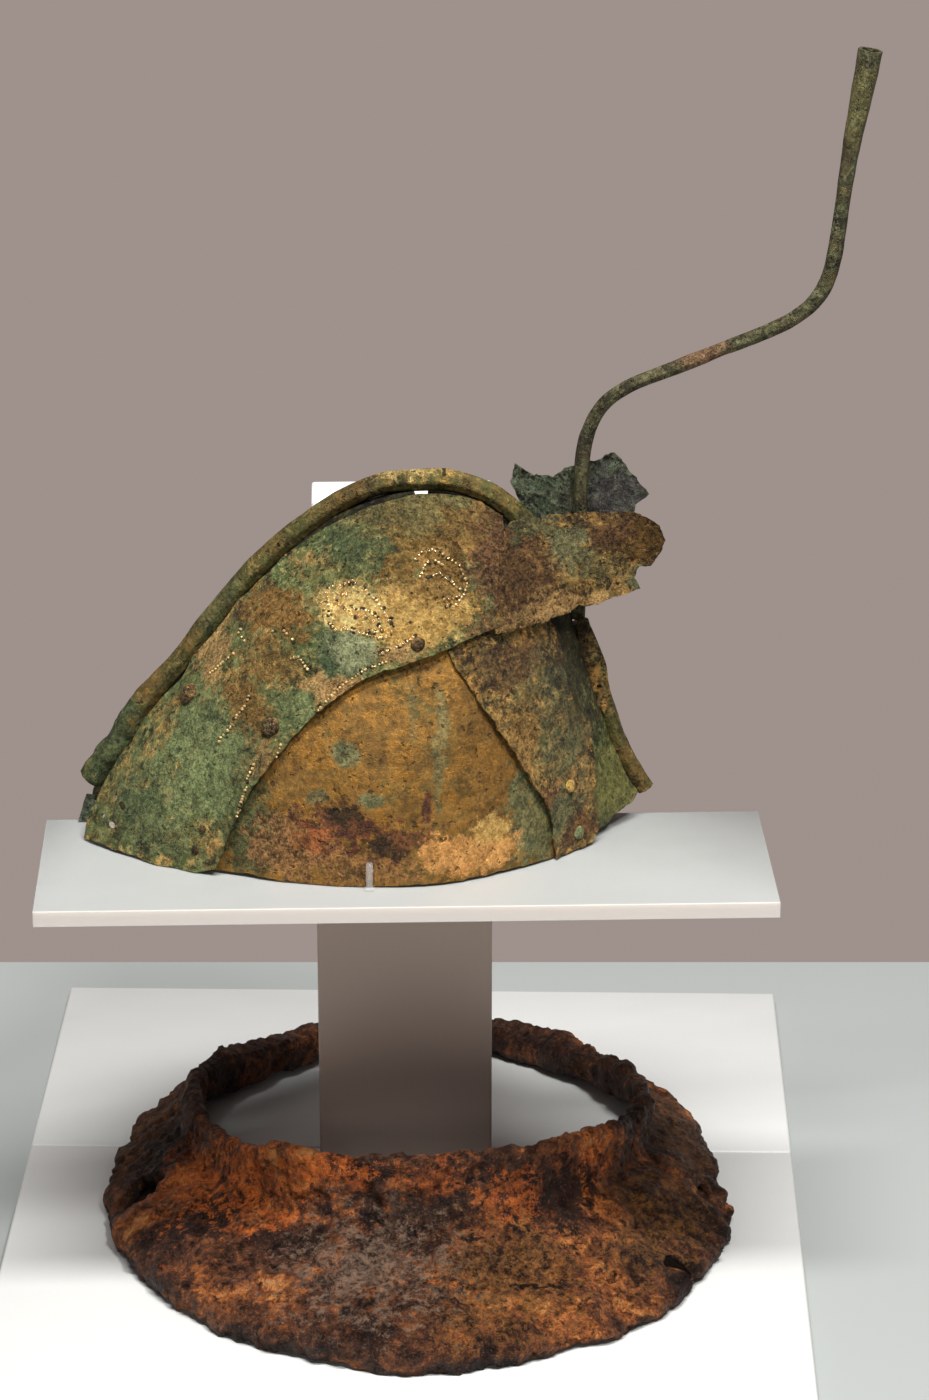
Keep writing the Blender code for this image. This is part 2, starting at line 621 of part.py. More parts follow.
def crest():
    """The ridge tube, its lower front length, and the swan-necked rod."""
    ridge_strip("ridge_saddle_back", RIDGE_STRIP_BACK_X)
    ridge_strip("ridge_saddle_front", RIDGE_STRIP_FRONT_X)
    tube = ridge_path(TUBE_X, SHEET_THICK + TOUCH_GAP + TUBE_RADIUS)
    bore = pin_cutter("tube_end_bore", tube[0], tube[1] - tube[0], TUBE_RADIUS - TUBE_WALL, TUBE_BORE_LENGTH)
    round_bar("crest_tube", [(place, TUBE_RADIUS) for place in tube], "tube_bronze", (bore,))
    lower = ridge_path(FRONT_TUBE_X, SHEET_THICK + FRONT_TUBE_CLEAR + FRONT_TUBE_RADIUS)
    round_bar("crest_tube_front", [(place, FRONT_TUBE_RADIUS) for place in lower], "tube_bronze")
    foot = lower[0] + (lower[0] - lower[1]).normalized() * ROD_FOOT_GAP
    knots = run([(foot.x, foot.z, ROD_PATH[0][2])] + list(ROD_PATH), 7.0) + [Vector(ROD_PATH[-1])]
    rod = [(Vector((p.x, 0.0, p.y)), p.z) for p in knots]
    axis = rod[-1][0] - rod[-2][0]
    socket = pin_cutter("rod_socket", rod[-1][0], axis, SOCKET_RADIUS, 2 * SOCKET_DEPTH)
    round_bar("crest_rod", rod, "rod_bronze", (socket,))
    ring = corners([Vector(p) for p in TUBE_FLAP])
    flap = standing_sheet("tube_flap", ring, lambda x, z: TUBE_FLAP_Y, -1.0, "mottled_bronze")
    for number, (x, z, radius) in enumerate(FLAP_HOLES):
        place = Vector((x, TUBE_FLAP_Y, z))
        cut(flap, pin_cutter("flap_hole_%d" % number, place, Vector((0.0, 1.0, 0.0)), radius, 6.0))
    ring = corners([Vector(p) for p in BACK_TAB])
    standing_sheet("back_tab", ring, lambda x, z: BACK_TAB_Y, -1.0, "dark_bronze")


def rivets():
    """Domed heads, each seated on the outermost sheet at its place."""
    for name, x, z, radius, layer, side in RIVETS:
        turn = hull_turn(x, z)
        top = layer * LAYER_STEP + SHEET_THICK + TOUCH_GAP
        place = lifted_hull(x, turn, top)
        axis = lifted_hull(x, turn, top + 1.0) - place
        mesh = bpy.data.meshes.new(name)
        work = bmesh.new()
        bmesh.ops.create_uvsphere(work, u_segments=12, v_segments=8, radius=radius * MM)
        cap = [v for v in work.verts if v.co.z < -0.0001 * MM]
        bmesh.ops.delete(work, geom=cap, context="VERTS")
        rim = [e for e in work.edges if e.is_boundary]
        bmesh.ops.contextual_create(work, geom=rim)
        bmesh.ops.scale(work, verts=work.verts, vec=(1.0, 1.0, 0.6))
        bmesh.ops.recalc_face_normals(work, faces=work.faces)
        work.to_mesh(mesh)
        work.free()
        mesh.transform(Matrix.Translation(place * MM) @ facing(axis))
        if side < 0:
            mesh.transform(Matrix.Diagonal((1.0, -1.0, 1.0, 1.0)))
            mesh.flip_normals()
        mesh.shade_smooth()
        mesh.set_sharp_from_angle(angle=math.radians(50.0))
        seat(new_object(name, mesh, "rivet_bronze"))


def brim_rows(azimuth):
    """Points down the brim's inner skin at one azimuth, collar to foot."""
    top = smooth_value(BRIM, 1, azimuth)
    crease = smooth_value(BRIM, 2, azimuth)
    reach = smooth_value(BRIM, 3, azimuth)
    foot = smooth_value(BRIM, 4, azimuth)
    angle = math.radians(azimuth)
    out = Vector((math.cos(angle), math.sin(angle), 0.0))
    wall = Vector((BRIM_HALF[0] * out.x, BRIM_HALF[1] * out.y, 0.0))
    centre = Vector((BRIM_CENTRE[0], BRIM_CENTRE[1], 0.0))
    profile = [(step, top + (crease - top) * fall) for step, fall in BRIM_COLLAR]
    profile += [(reach * share, crease + (foot - crease) * fall) for share, fall in BRIM_SKIRT]
    return [centre + wall + out * step + Vector((0.0, 0.0, z)) for step, z in profile]


def iron_brim():
    rows = [brim_rows(360.0 * i / BRIM_AROUND) for i in range(BRIM_AROUND)]
    deep = len(rows[0])
    points = [p for row in rows for p in row]
    faces = []
    for i in range(BRIM_AROUND):
        after = (i + 1) % BRIM_AROUND
        for k in range(deep - 1):
            faces.append((deep * i + k, deep * i + k + 1, deep * after + k + 1, deep * after + k))
    centre = Vector((BRIM_CENTRE[0], BRIM_CENTRE[1], -60.0))
    brim = new_object("iron_brim", mesh_from("iron_brim", points, faces, lambda c: c - centre), "rusty_iron")
    thicken(brim, BRIM_THICK)
    for number, (azimuth, share, width, height, turn) in enumerate(BRIM_HOLES):
        row = brim_rows(azimuth % 360.0)
        crease = row[len(BRIM_COLLAR) - 1]
        slope = row[-1] - crease
        axis = slope.cross(Vector((0.0, 0.0, 1.0)).cross(slope)).normalized()
        half = Vector((width / 2, height / 2, BRIM_HOLE_DEPTH / 2))
        mesh = box_mesh("brim_hole_%d" % number, -half, half)
        place = crease.lerp(row[-1], share)
        spin = Matrix.Rotation(math.radians(turn), 4, "Z")
        mesh.transform(Matrix.Translation(place * MM) @ facing(axis) @ spin)
        cut(brim, as_cutter(bpy.data.objects.new(mesh.name, mesh)))


def shelf_outline():
    """Plan of the shelf: a straight front and a rounded tongue behind."""
    left, right = SHELF_X
    ring = [Vector((left, SHELF_FRONT)), Vector((right, SHELF_FRONT)), Vector((right, SHELF_BACK))]
    middle = (TONGUE_X[0] + TONGUE_X[1]) / 2
    half = (TONGUE_X[1] - TONGUE_X[0]) / 2
    for k in range(TONGUE_STEPS + 1):
        angle = math.pi * k / TONGUE_STEPS
        ring.append(Vector((middle + half * math.cos(angle), SHELF_BACK + TONGUE_REACH * math.sin(angle))))
    ring.append(Vector((left, SHELF_BACK)))
    return ring


def stand():
    """Two butted base plates, a post, a shelf and a small clear peg."""
    half = BASE_WIDTH / 2
    for name, (low, high) in (("base_plate_back", BACK_PLATE_Y), ("base_plate_front", FRONT_PLATE_Y)):
        plate = new_object(name, box_mesh(name, (-half, low, 0.0), (half, high, BASE_THICK)), "white_acrylic")
        plate.rotation_euler.z = math.radians(BASE_TURN_DEG)
        soften(plate)
    foot = BASE_THICK + TOUCH_GAP - SHELF_TOP
    mesh = box_mesh("post", (POST_X[0], POST_Y[0], foot), (POST_X[1], POST_Y[1], POST_TOP))
    post = new_object("post", mesh, "white_acrylic")
    soften(post)
    seat(post)

    curve = bpy.data.curves.new("shelf", "CURVE")
    curve.dimensions = "2D"
    curve.fill_mode = "BOTH"
    curve.extrude = SHELF_THICK / 2 * MM
    spline = curve.splines.new("POLY")
    ring = shelf_outline()
    spline.points.add(len(ring) - 1)
    for point, place in zip(spline.points, ring):
        point.co = (place.x * MM, place.y * MM, 0.0, 1.0)
    spline.use_cyclic_u = True
    flat = bpy.data.objects.new("shelf_curve", curve)
    bpy.context.scene.collection.objects.link(flat)
    mesh = bpy.data.meshes.new_from_object(flat.evaluated_get(bpy.context.evaluated_depsgraph_get()))
    bpy.data.objects.remove(flat)
    bpy.data.curves.remove(curve)
    mesh.name = "shelf"
    mesh.materials.clear()
    work = bmesh.new()
    work.from_mesh(mesh)
    bmesh.ops.remove_doubles(work, verts=work.verts, dist=0.00001)
    bmesh.ops.dissolve_limit(work, angle_limit=0.001, verts=work.verts, edges=work.edges)
    bmesh.ops.recalc_face_normals(work, faces=work.faces)
    bmesh.ops.translate(work, verts=work.verts, vec=(0.0, 0.0, -SHELF_THICK / 2 * MM))
    work.to_mesh(mesh)
    work.free()
    shelf = new_object("shelf", mesh, "frosted_acrylic")
    slot = box_mesh("post_slot", (POST_X[0] - TOUCH_GAP, POST_Y[0] - TOUCH_GAP, -2 * SHELF_THICK),
                    (POST_X[1] + TOUCH_GAP, POST_Y[1] + TOUCH_GAP, SHELF_THICK))
    slot_cutter = as_cutter(bpy.data.objects.new("post_slot", slot))
    seat(slot_cutter)
    cut(shelf, slot_cutter)
    seat(shelf)

    peg_y = -smooth_value(HULL, 2, PEG_X) - SHEET_THICK - PEG_FOOT_RADIUS - PEG_STAND_OFF
    peg_path = [
        (Vector((PEG_X, peg_y, TOUCH_GAP)), PEG_FOOT_RADIUS),
        (Vector((PEG_X, peg_y, 1.2)), PEG_FOOT_RADIUS),
        (Vector((PEG_X, peg_y, 2.2)), PEG_RADIUS),
        (Vector((PEG_X, peg_y, PEG_HEIGHT)), PEG_RADIUS),
    ]
    round_bar("clear_peg", peg_path, "clear_acrylic")


def start():
    """Clear the scene's objects, then make collections and materials."""
    for old in list(bpy.data.objects):
        bpy.data.objects.remove(old)
    for name in (OBJECT_NAME, CUTTER_NAME):
        bpy.context.scene.collection.children.link(bpy.data.collections.new(name))
    for name, (colour, roughness, metallic) in FINISHES.items():
        material = bpy.data.materials.new(name)
        material.use_nodes = True
        shader = material.node_tree.nodes["Principled BSDF"]
        shader.inputs["Base Color"].default_value = colour
        shader.inputs["Roughness"].default_value = roughness
        shader.inputs["Metallic"].default_value = metallic
    crown_seat = bpy.data.objects.new(SEAT_NAME, None)
    bpy.data.collections[OBJECT_NAME].objects.link(crown_seat)
    turn = Matrix.Rotation(math.radians(CROWN_TURN_DEG), 4, "Z")
    crown_seat.matrix_world = turn @ Matrix.Translation(Vector((0.0, CROWN_MIDDLE_Y, SHELF_TOP)) * MM)


def main():
    start()
    near_sheets()
    far_sheets()
    crest()
    rivets()
    iron_brim()
    stand()


main()
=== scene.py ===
"""Looks for a crested bronze helmet and its iron brim on a plain stand.

Each sheet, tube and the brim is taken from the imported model, made finer, then
dented, pitted and frayed. The finishes are node materials laid out in the
crown's own frame, in centimetres: along the helmet, across it, and up from
the shelf.
"""
import math
import random

import bmesh
import bpy
import numpy as np
from mathutils import Matrix, Vector, noise
from mathutils.bvhtree import BVHTree
from mathutils.kdtree import KDTree


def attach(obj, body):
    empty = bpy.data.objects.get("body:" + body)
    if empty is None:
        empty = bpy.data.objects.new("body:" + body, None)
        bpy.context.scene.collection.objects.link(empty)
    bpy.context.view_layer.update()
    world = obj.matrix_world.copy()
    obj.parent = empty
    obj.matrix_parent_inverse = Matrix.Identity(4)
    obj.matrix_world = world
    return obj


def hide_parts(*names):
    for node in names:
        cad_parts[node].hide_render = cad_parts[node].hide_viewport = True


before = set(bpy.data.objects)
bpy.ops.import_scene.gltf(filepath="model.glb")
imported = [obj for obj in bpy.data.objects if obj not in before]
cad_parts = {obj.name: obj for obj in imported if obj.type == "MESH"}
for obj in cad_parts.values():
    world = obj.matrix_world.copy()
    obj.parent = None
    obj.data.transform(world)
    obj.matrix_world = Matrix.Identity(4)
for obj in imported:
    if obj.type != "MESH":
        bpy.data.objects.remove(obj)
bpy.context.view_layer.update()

# Blender's noise vectors start from a random place unless they are given a seed.
NOISE_SEED = 5
noise.seed_set(NOISE_SEED)

MM = 0.001
CM = 0.01

# The crown's place on the stand: its turn, middle plane and the shelf's top.
CROWN_TURN = math.radians(1.8)
CROWN_MIDDLE_Y = -0.0375
SHELF_TOP = 0.196
CROWN_FRAME = Matrix.Rotation(CROWN_TURN, 4, "Z") @ Matrix.Translation((0.0, CROWN_MIDDLE_Y, SHELF_TOP))
CROWN_BACK = np.array(CROWN_FRAME.inverted())
CROWN_AXES = np.array(CROWN_FRAME)[:3, :3]
# The crown's sections, millimetres: place along it, ridge height, half width.
HULL = np.array((
    (-135, 4, 6), (-115, 34, 33), (-84, 75, 54), (-56, 110, 66), (-25, 134, 72), (-3, 143, 74), (14, 144, 71),
    (26, 140, 66), (42, 129, 58), (55, 110, 49), (67, 81, 37), (77, 49, 26), (89, 20, 12), (98, 5, 4),
)) * MM
# The ridge's slope is taken over this much to either side.
SLOPE_STEP = 0.012

# The photograph's camera.
PHOTO_SIZE = (929, 1400)
FOCAL_PIXELS = 4240.0
CAMERA_PLACE = (0.025, -1.685, 0.891)
CAMERA_DOWN = math.radians(21.3)
SENSOR_HEIGHT = 36.0

# How far to each side of its middle a furrow reaches, as a share of the noise's own height.
FURROW_WIDTH = 1.0 / 7.0
# Points of a mesh that lie closer than this are one point.
WELD = 0.00002
# Edges sharper than this are a sheet's rim, and edges sharper than the second are shaded as corners.
RIM_ANGLE = 0.42
CORNER_ANGLE = math.radians(42)


# Mesh tools.

def vectors_of(thing, kind):
    """A vector for each point of a mesh, as rows: "co" for its place or "normal"."""
    flat = np.empty(len(thing.data.vertices) * 3)
    thing.data.vertices.foreach_get(kind, flat)
    return flat.reshape(-1, 3)


def points_of(thing):
    return vectors_of(thing, "co")


def normals_of(thing):
    return vectors_of(thing, "normal")


def move_points(thing, points):
    thing.data.vertices.foreach_set("co", points.astype(np.float32).ravel())
    thing.data.update()


def push_out(thing, depth):
    """Move each point along its normal by its own depth."""
    move_points(thing, points_of(thing) + normals_of(thing) * depth[:, None])


def push_off_hull(thing, depth):
    """Move each point away from the crown's hull by its own depth."""
    points = points_of(thing)
    move_points(thing, points + hull_ways(points) * depth[:, None])


def rise(values, start, end):
    """0 at the start and before it, 1 at the end and beyond, straight in between."""
    return np.clip((values - start) / (end - start), 0.0, 1.0)


def rolling(points, scale, octaves=3, seed=0.0):
    """Smooth noise, about -1 to 1, at each point; the scale is in metres."""
    shift = Vector((seed * 7.3, seed * 3.1, seed * 5.7))
    return np.array([noise.fractal(Vector(p) / scale + shift, 1.0, 2.1, octaves) for p in points])


def ridged(points, scale, seed=0.0):
    """Noise with sharp furrows: 0 on most of it, falling to -1 along them."""
    return -rise(np.abs(rolling(points, scale, 2, seed)), FURROW_WIDTH, 0.0)


def rolling_ways(points, scale, seed=0.0):
    """A smooth noise vector at each point."""
    shift = Vector((seed * 2.9, seed * 8.3, seed * 4.1))
    return np.array([noise.noise_vector(Vector(p) / scale + shift)[:] for p in points])


def in_crown(points):
    """Places in the crown's own frame: along it, across it and up from the shelf."""
    return points @ CROWN_BACK[:3, :3].T + CROWN_BACK[:3, 3]


def hull_ways(points):
    """The crown's outward direction near each point."""
    along, across, up = in_crown(points).T
    places, heights, widths = HULL.T
    ridge = np.interp(along, places, heights)
    half = np.interp(along, places, widths)
    fall = np.interp(along - SLOPE_STEP, places, heights) - np.interp(along + SLOPE_STEP, places, heights)
    slope = fall / (2.0 * SLOPE_STEP)
    ways = np.stack([slope / ridge, across / half ** 2, np.maximum(up, 0.0) / ridge ** 2], axis=1)
    ways /= np.maximum(np.linalg.norm(ways, axis=1), 1e-9)[:, None]
    return ways @ CROWN_AXES.T


def new_thing(name, data):
    """A new object in the scene."""
    thing = bpy.data.objects.new(name, data)
    bpy.context.scene.collection.objects.link(thing)
    return thing


def copy_of(node):
    """A new object with a copy of a node's mesh, welded, to be worked on."""
    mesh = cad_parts[node].data.copy()
    mesh.materials.clear()
    work = bmesh.new()
    work.from_mesh(mesh)
    bmesh.ops.remove_doubles(work, verts=work.verts, dist=WELD)
    work.to_mesh(mesh)
    work.free()
    return new_thing(node + "_piece", mesh)


def bake_modifiers(thing):
    """Make the mesh what its modifiers make of it."""
    bpy.context.view_layer.update()
    shape = thing.evaluated_get(bpy.context.evaluated_depsgraph_get())
    mesh = bpy.data.meshes.new_from_object(shape)
    thing.modifiers.clear()
    thing.data = mesh


def rim_edges(work):
    """The edges that fold sharply."""
    inner = (edge for edge in work.edges if len(edge.link_faces) == 2)
    return [edge for edge in inner if edge.calc_face_angle(0.0) > RIM_ANGLE]


def refine(thing, levels):
    """Round the facets off and keep the rims sharp."""
    work = bmesh.new()
    work.from_mesh(thing.data)
    layer = work.edges.layers.float.new("crease_edge")
    for edge in rim_edges(work):
        edge[layer] = 1.0
    work.to_mesh(thing.data)
    work.free()
    finer = thing.modifiers.new("finer", "SUBSURF")
    finer.levels = levels
    finer.render_levels = levels
    bake_modifiers(thing)


def fuse(thing, grain, rounds):
    """Make a piece one mass of cubes of this size, smoothed over in a few rounds."""
    solid = thing.modifiers.new("solid", "REMESH")
    solid.mode = "VOXEL"
    solid.voxel_size = grain
    relax = thing.modifiers.new("relax", "SMOOTH")
    relax.factor = 0.5
    relax.iterations = rounds
    bake_modifiers(thing)


def rim_distance(thing):
    """How far each point of a mesh lies from its nearest sharp rim."""
    work = bmesh.new()
    work.from_mesh(thing.data)
    places = [vert.co.copy() for edge in rim_edges(work) for vert in edge.verts]
    work.free()
    tree = KDTree(len(places))
    for index, place in enumerate(places):
        tree.insert(place, index)
    tree.balance()
    return np.array([tree.find(place)[2] for place in points_of(thing)])


def surface_tree(thing):
    """A mesh's faces in a tree, to look for places on them."""
    corners = [vert.co for vert in thing.data.vertices]
    faces = [face.vertices for face in thing.data.polygons]
    return BVHTree.FromPolygons(corners, faces)


# A frayed rim's finer raggedness, as shares of the broad one's size and depth.
FINE_SIZE = 0.33
FINE_DEPTH = 0.7


def fray(thing, depth, reach, scale, seed):
    """Make a sheet's rim ragged, within the sheet's own surface."""
    points = points_of(thing)
    distance = rim_distance(thing)
    near = distance < reach
    chosen = points[near]
    ways = rolling_ways(chosen, scale, seed)
    ways += FINE_DEPTH * rolling_ways(chosen, scale * FINE_SIZE, seed + 2.0)
    out = hull_ways(chosen)
    ways -= out * np.sum(ways * out, axis=1)[:, None]
    share = (1.0 - distance[near] / reach) ** 1.5
    points[near] = chosen + ways * (depth * share)[:, None]
    move_points(thing, points)


# The bends that all the crown's pieces share: size and depth of the noise, metres. They fade
# to a share of themselves at the foot, over a height.
BENDS = ((0.050, 0.0011), (0.017, 0.00045))
BENDS_AT_FOOT = 0.35
BENDS_FADE = 0.012
# Local dents: crown place in centimetres, radius and depth in metres.
DENTS = (
    ((-2.7, -5.0, 9.4), 0.009, -0.0011),
    ((-0.4, -4.9, 10.7), 0.012, 0.0008),
    ((-2.6, -4.1, 11.2), 0.008, 0.0007),
    ((-8.6, -4.2, 4.6), 0.016, -0.0009),
    ((-3.0, -7.0, 2.6), 0.010, -0.0009),
    ((4.4, -4.6, 6.4), 0.012, -0.0008),
)


def dent(thing):
    """Bend a crown piece with the one field of dents that all of them share."""
    points = points_of(thing)
    amount = np.zeros(len(points))
    for seed, (scale, depth) in enumerate(BENDS, 1):
        amount += depth * rolling(points, scale, 2, seed)
    for place, radius, depth in DENTS:
        away = np.linalg.norm(points - np.array(CROWN_FRAME @ (Vector(place) * CM)), axis=1) / radius
        amount += depth * np.exp(-away ** 2)
    foot = rise(points[:, 2], SHELF_TOP, SHELF_TOP + BENDS_FADE)
    push_off_hull(thing, amount * (BENDS_AT_FOOT + (1.0 - BENDS_AT_FOOT) * foot))


# A lifted rim: how far in from the rim it starts, the size of its waves, its height's mean,
# change and most as shares, and the height over which it dies out at its top.
LIFT_REACH = 0.009
LIFT_WAVES = 0.020
LIFT_MEAN = 0.65
LIFT_CHANGE = 0.9
LIFT_MOST = 1.4
LIFT_FADE = 0.006


def lift_rim(thing, height, seed, top=1.0):
    """Curl a sheet's rim away from the hull, below a height on the crown."""
    points = points_of(thing)
    share = rise(rim_distance(thing), LIFT_REACH, 0.0) ** 2
    share *= np.clip(LIFT_MEAN + LIFT_CHANGE * rolling(points, LIFT_WAVES, 2, seed), 0.0, LIFT_MOST)
    share *= rise(points[:, 2], SHELF_TOP + top, SHELF_TOP + top - LIFT_FADE)
    push_off_hull(thing, height * share)


# The front walls' ridge edges: how near the ridge they are drawn up, by how much, by how much
# more high up, and between which heights over the shelf that begins and is full.
EDGE_NEAR = 0.016
EDGE_LIFT = 0.0024
EDGE_LIFT_HIGH = 0.0050
EDGE_HIGH = (0.075, 0.105)


def reach_ridge(thing):
    """Raise a wall's ridge edge until it meets the tube that lies along it."""
    across, up = in_crown(points_of(thing))[:, 1:].T
    near = rise(np.abs(across), EDGE_NEAR, 0.0)
    push_off_hull(thing, near * (EDGE_LIFT + EDGE_LIFT_HIGH * rise(up, *EDGE_HIGH)))


# The back ridge strip's front end: how far it is drawn forward and up, and between which
# places along the crown each of them begins and is full.
STRIP_FORWARD = 0.0085
STRIP_FORWARD_FROM = (-0.030, -0.005)
STRIP_UP = 0.0022
STRIP_UP_FROM = (-0.075, -0.055)


def stretch_strip(thing):
    """Draw the back ridge strip forward, so that the gap over the post is short."""
    points = points_of(thing)
    along = in_crown(points)[:, 0]
    points += np.outer(STRIP_FORWARD * rise(along, *STRIP_FORWARD_FROM), CROWN_AXES[:, 0])
    points[:, 2] += STRIP_UP * rise(along, *STRIP_UP_FROM)
    move_points(thing, points)


# The crest tube's swollen back end: where along the crown it begins and is full, how thick the
# crust is, and how high and wide its lumps are.
SWELL_FROM = (-0.098, -0.120)
SWELL = 0.0014
SWELL_LUMPS = 0.0012
SWELL_LUMP_SIZE = 0.009


def swell_end(thing):
    """Swell and crust the crest tube's back end."""
    points = points_of(thing)
    share = rise(in_crown(points)[:, 0], *SWELL_FROM)
    push_out(thing, share * (SWELL + SWELL_LUMPS * rolling(points, SWELL_LUMP_SIZE, 3, 6.0)))


def roughen(thing, steps, seed):
    """Push points along their normals: steps are (scale, depth, octaves)."""
    points = points_of(thing)
    amount = np.zeros(len(points))
    for turn, (scale, depth, octaves) in enumerate(steps):
        amount += depth * rolling(points, scale, octaves, seed + turn * 1.7)
    push_out(thing, amount)


def keep_above(thing, height):
    """Press flat whatever of a piece is below a height."""
    points = points_of(thing)
    points[:, 2] = np.maximum(points[:, 2], height)
    move_points(thing, points)


def show(thing, node, material):
    """Put a finished piece in place of its node."""
    mesh = thing.data
    mesh.materials.clear()
    mesh.materials.append(material)
    mesh.polygons.foreach_set("use_smooth", [True] * len(mesh.polygons))
    mesh.set_sharp_from_angle(angle=CORNER_ANGLE)
    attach(thing, "root")
    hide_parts(node)


def show_extra(name, work, material, smooth):
    """Put a piece that stands for no node in the scene, from the mesh being worked on."""
    mesh = bpy.data.meshes.new(name)
    work.to_mesh(mesh)
    work.free()
    mesh.materials.append(material)
    mesh.polygons.foreach_set("use_smooth", [smooth] * len(mesh.polygons))
    thing = new_thing(name, mesh)
    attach(thing, "root")


# Node tools.

ORIGIN = (0.0, 0.0, 0.0)


def rgb(red, green, blue):
    """A colour from 0 to 255 screen values."""
    out = []
    for value in (red, green, blue):
        value /= 255.0
        out.append(value / 12.92 if value <= 0.04045 else ((value + 0.055) / 1.055) ** 2.4)
    return (*out, 1.0)


def plug(tree, socket, value):
    """Join a socket to another, or give it a plain value."""
    if isinstance(value, bpy.types.NodeSocket):
        tree.links.new(value, socket)
    else:
        socket.default_value = value


def add(tree, kind, inputs=None, **settings):
    """A new node with its settings and its inputs."""
    made = tree.nodes.new("ShaderNode" + kind)
    for key, value in settings.items():
        setattr(made, key, value)
    for key, value in (inputs or {}).items():
        plug(tree, made.inputs[key], value)
    return made


def calc(tree, operation, first, second=0.0, clamp=False):
    return add(tree, "Math", {0: first, 1: second}, operation=operation, use_clamp=clamp).outputs[0]


def total(tree, *parts):
    """The sum of values, each given with its weight."""
    sums = [calc(tree, "MULTIPLY", value, weight) for value, weight in parts]
    result = sums[0]
    for part in sums[1:]:
        result = calc(tree, "ADD", result, part)
    return result


def vector(tree, operation, first, second=ORIGIN):
    made = add(tree, "VectorMath", {0: first, 1: second}, operation=operation)
    return made.outputs["Value"] if operation in ("LENGTH", "DOT_PRODUCT") else made.outputs["Vector"]


def scaled(tree, first, by):
    return add(tree, "VectorMath", {0: first, "Scale": by}, operation="SCALE").outputs["Vector"]


def blend(tree, share, first, second, way="MIX"):
    return add(tree, "Mix", {0: share, 6: first, 7: second}, data_type="RGBA", blend_type=way).outputs[2]


def mean(tree, share, first, second):
    return add(tree, "Mix", {0: share, 2: first, 3: second}, data_type="FLOAT").outputs[0]


def remap(tree, value, low, high, to_low=0.0, to_high=1.0):
    inputs = {"Value": value, "From Min": low, "From Max": high, "To Min": to_low, "To Max": to_high}
    return add(tree, "MapRange", inputs, interpolation_type="SMOOTHSTEP").outputs["Result"]


def ramp(tree, value, stops):
    """A colour ramp from (place, colour) stops."""
    made = add(tree, "ValToRGB", {0: value})
    elements = made.color_ramp.elements
    while len(elements) < len(stops):
        elements.new(0.5)
    for element, (place, colour) in zip(elements, stops):
        element.position = place
        element.color = colour
    return made.outputs["Color"]


def grainy(tree, place, scale, detail=4.0, rough=0.6, shift=0.0, output="Fac"):
    """Noise from 0 to 1; the shift gives each use a pattern of its own."""
    if shift:
        place = vector(tree, "ADD", place, (shift, -shift * 0.7, shift * 1.3))
    inputs = {"Vector": place, "Scale": scale, "Detail": detail, "Roughness": rough}
    return add(tree, "TexNoise", inputs).outputs[output]


def wobbled(tree, place, by, scale, detail, rough, shift):
    """A place moved about by noise, half of so much to each side."""
    warp = grainy(tree, place, scale, detail, rough, shift, "Color")
    warp = vector(tree, "SUBTRACT", warp, (0.5, 0.5, 0.5))
    return vector(tree, "ADD", place, scaled(tree, warp, by))


SOCKETS = {"value": "NodeSocketFloat", "colour": "NodeSocketColor", "place": "NodeSocketVector"}


def new_group(name, inputs, outputs):
    """An empty node group; inputs are (name, kind, value), outputs (name, kind)."""
    tree = bpy.data.node_groups.new(name, "ShaderNodeTree")
    for label, kind, value in inputs:
        tree.interface.new_socket(label, in_out="INPUT", socket_type=SOCKETS[kind]).default_value = value
    for label, kind in outputs:
        tree.interface.new_socket(label, in_out="OUTPUT", socket_type=SOCKETS[kind])
    return tree, tree.nodes.new("NodeGroupInput").outputs, tree.nodes.new("NodeGroupOutput").inputs


def use(tree, group, inputs):
    """Place a group in a tree with its own values, and give its outputs."""
    made = tree.nodes.new("ShaderNodeGroup")
    made.node_tree = group
    for key, value in inputs.items():
        plug(tree, made.inputs[key], value)
    return made.outputs


# Shared effects.

# Nearly all of the noise lies between these two, and a patch fades out over this much of it.
NOISE_LOW = 0.33
NOISE_HIGH = 0.67
PATCH_EDGE = 0.06


def patches(tree, field, share):
    """A mask that covers more of the surface as its share grows."""
    middle = mean(tree, share, NOISE_HIGH, NOISE_LOW)
    return remap(
        tree, field, calc(tree, "SUBTRACT", middle, PATCH_EDGE), calc(tree, "ADD", middle, PATCH_EDGE))


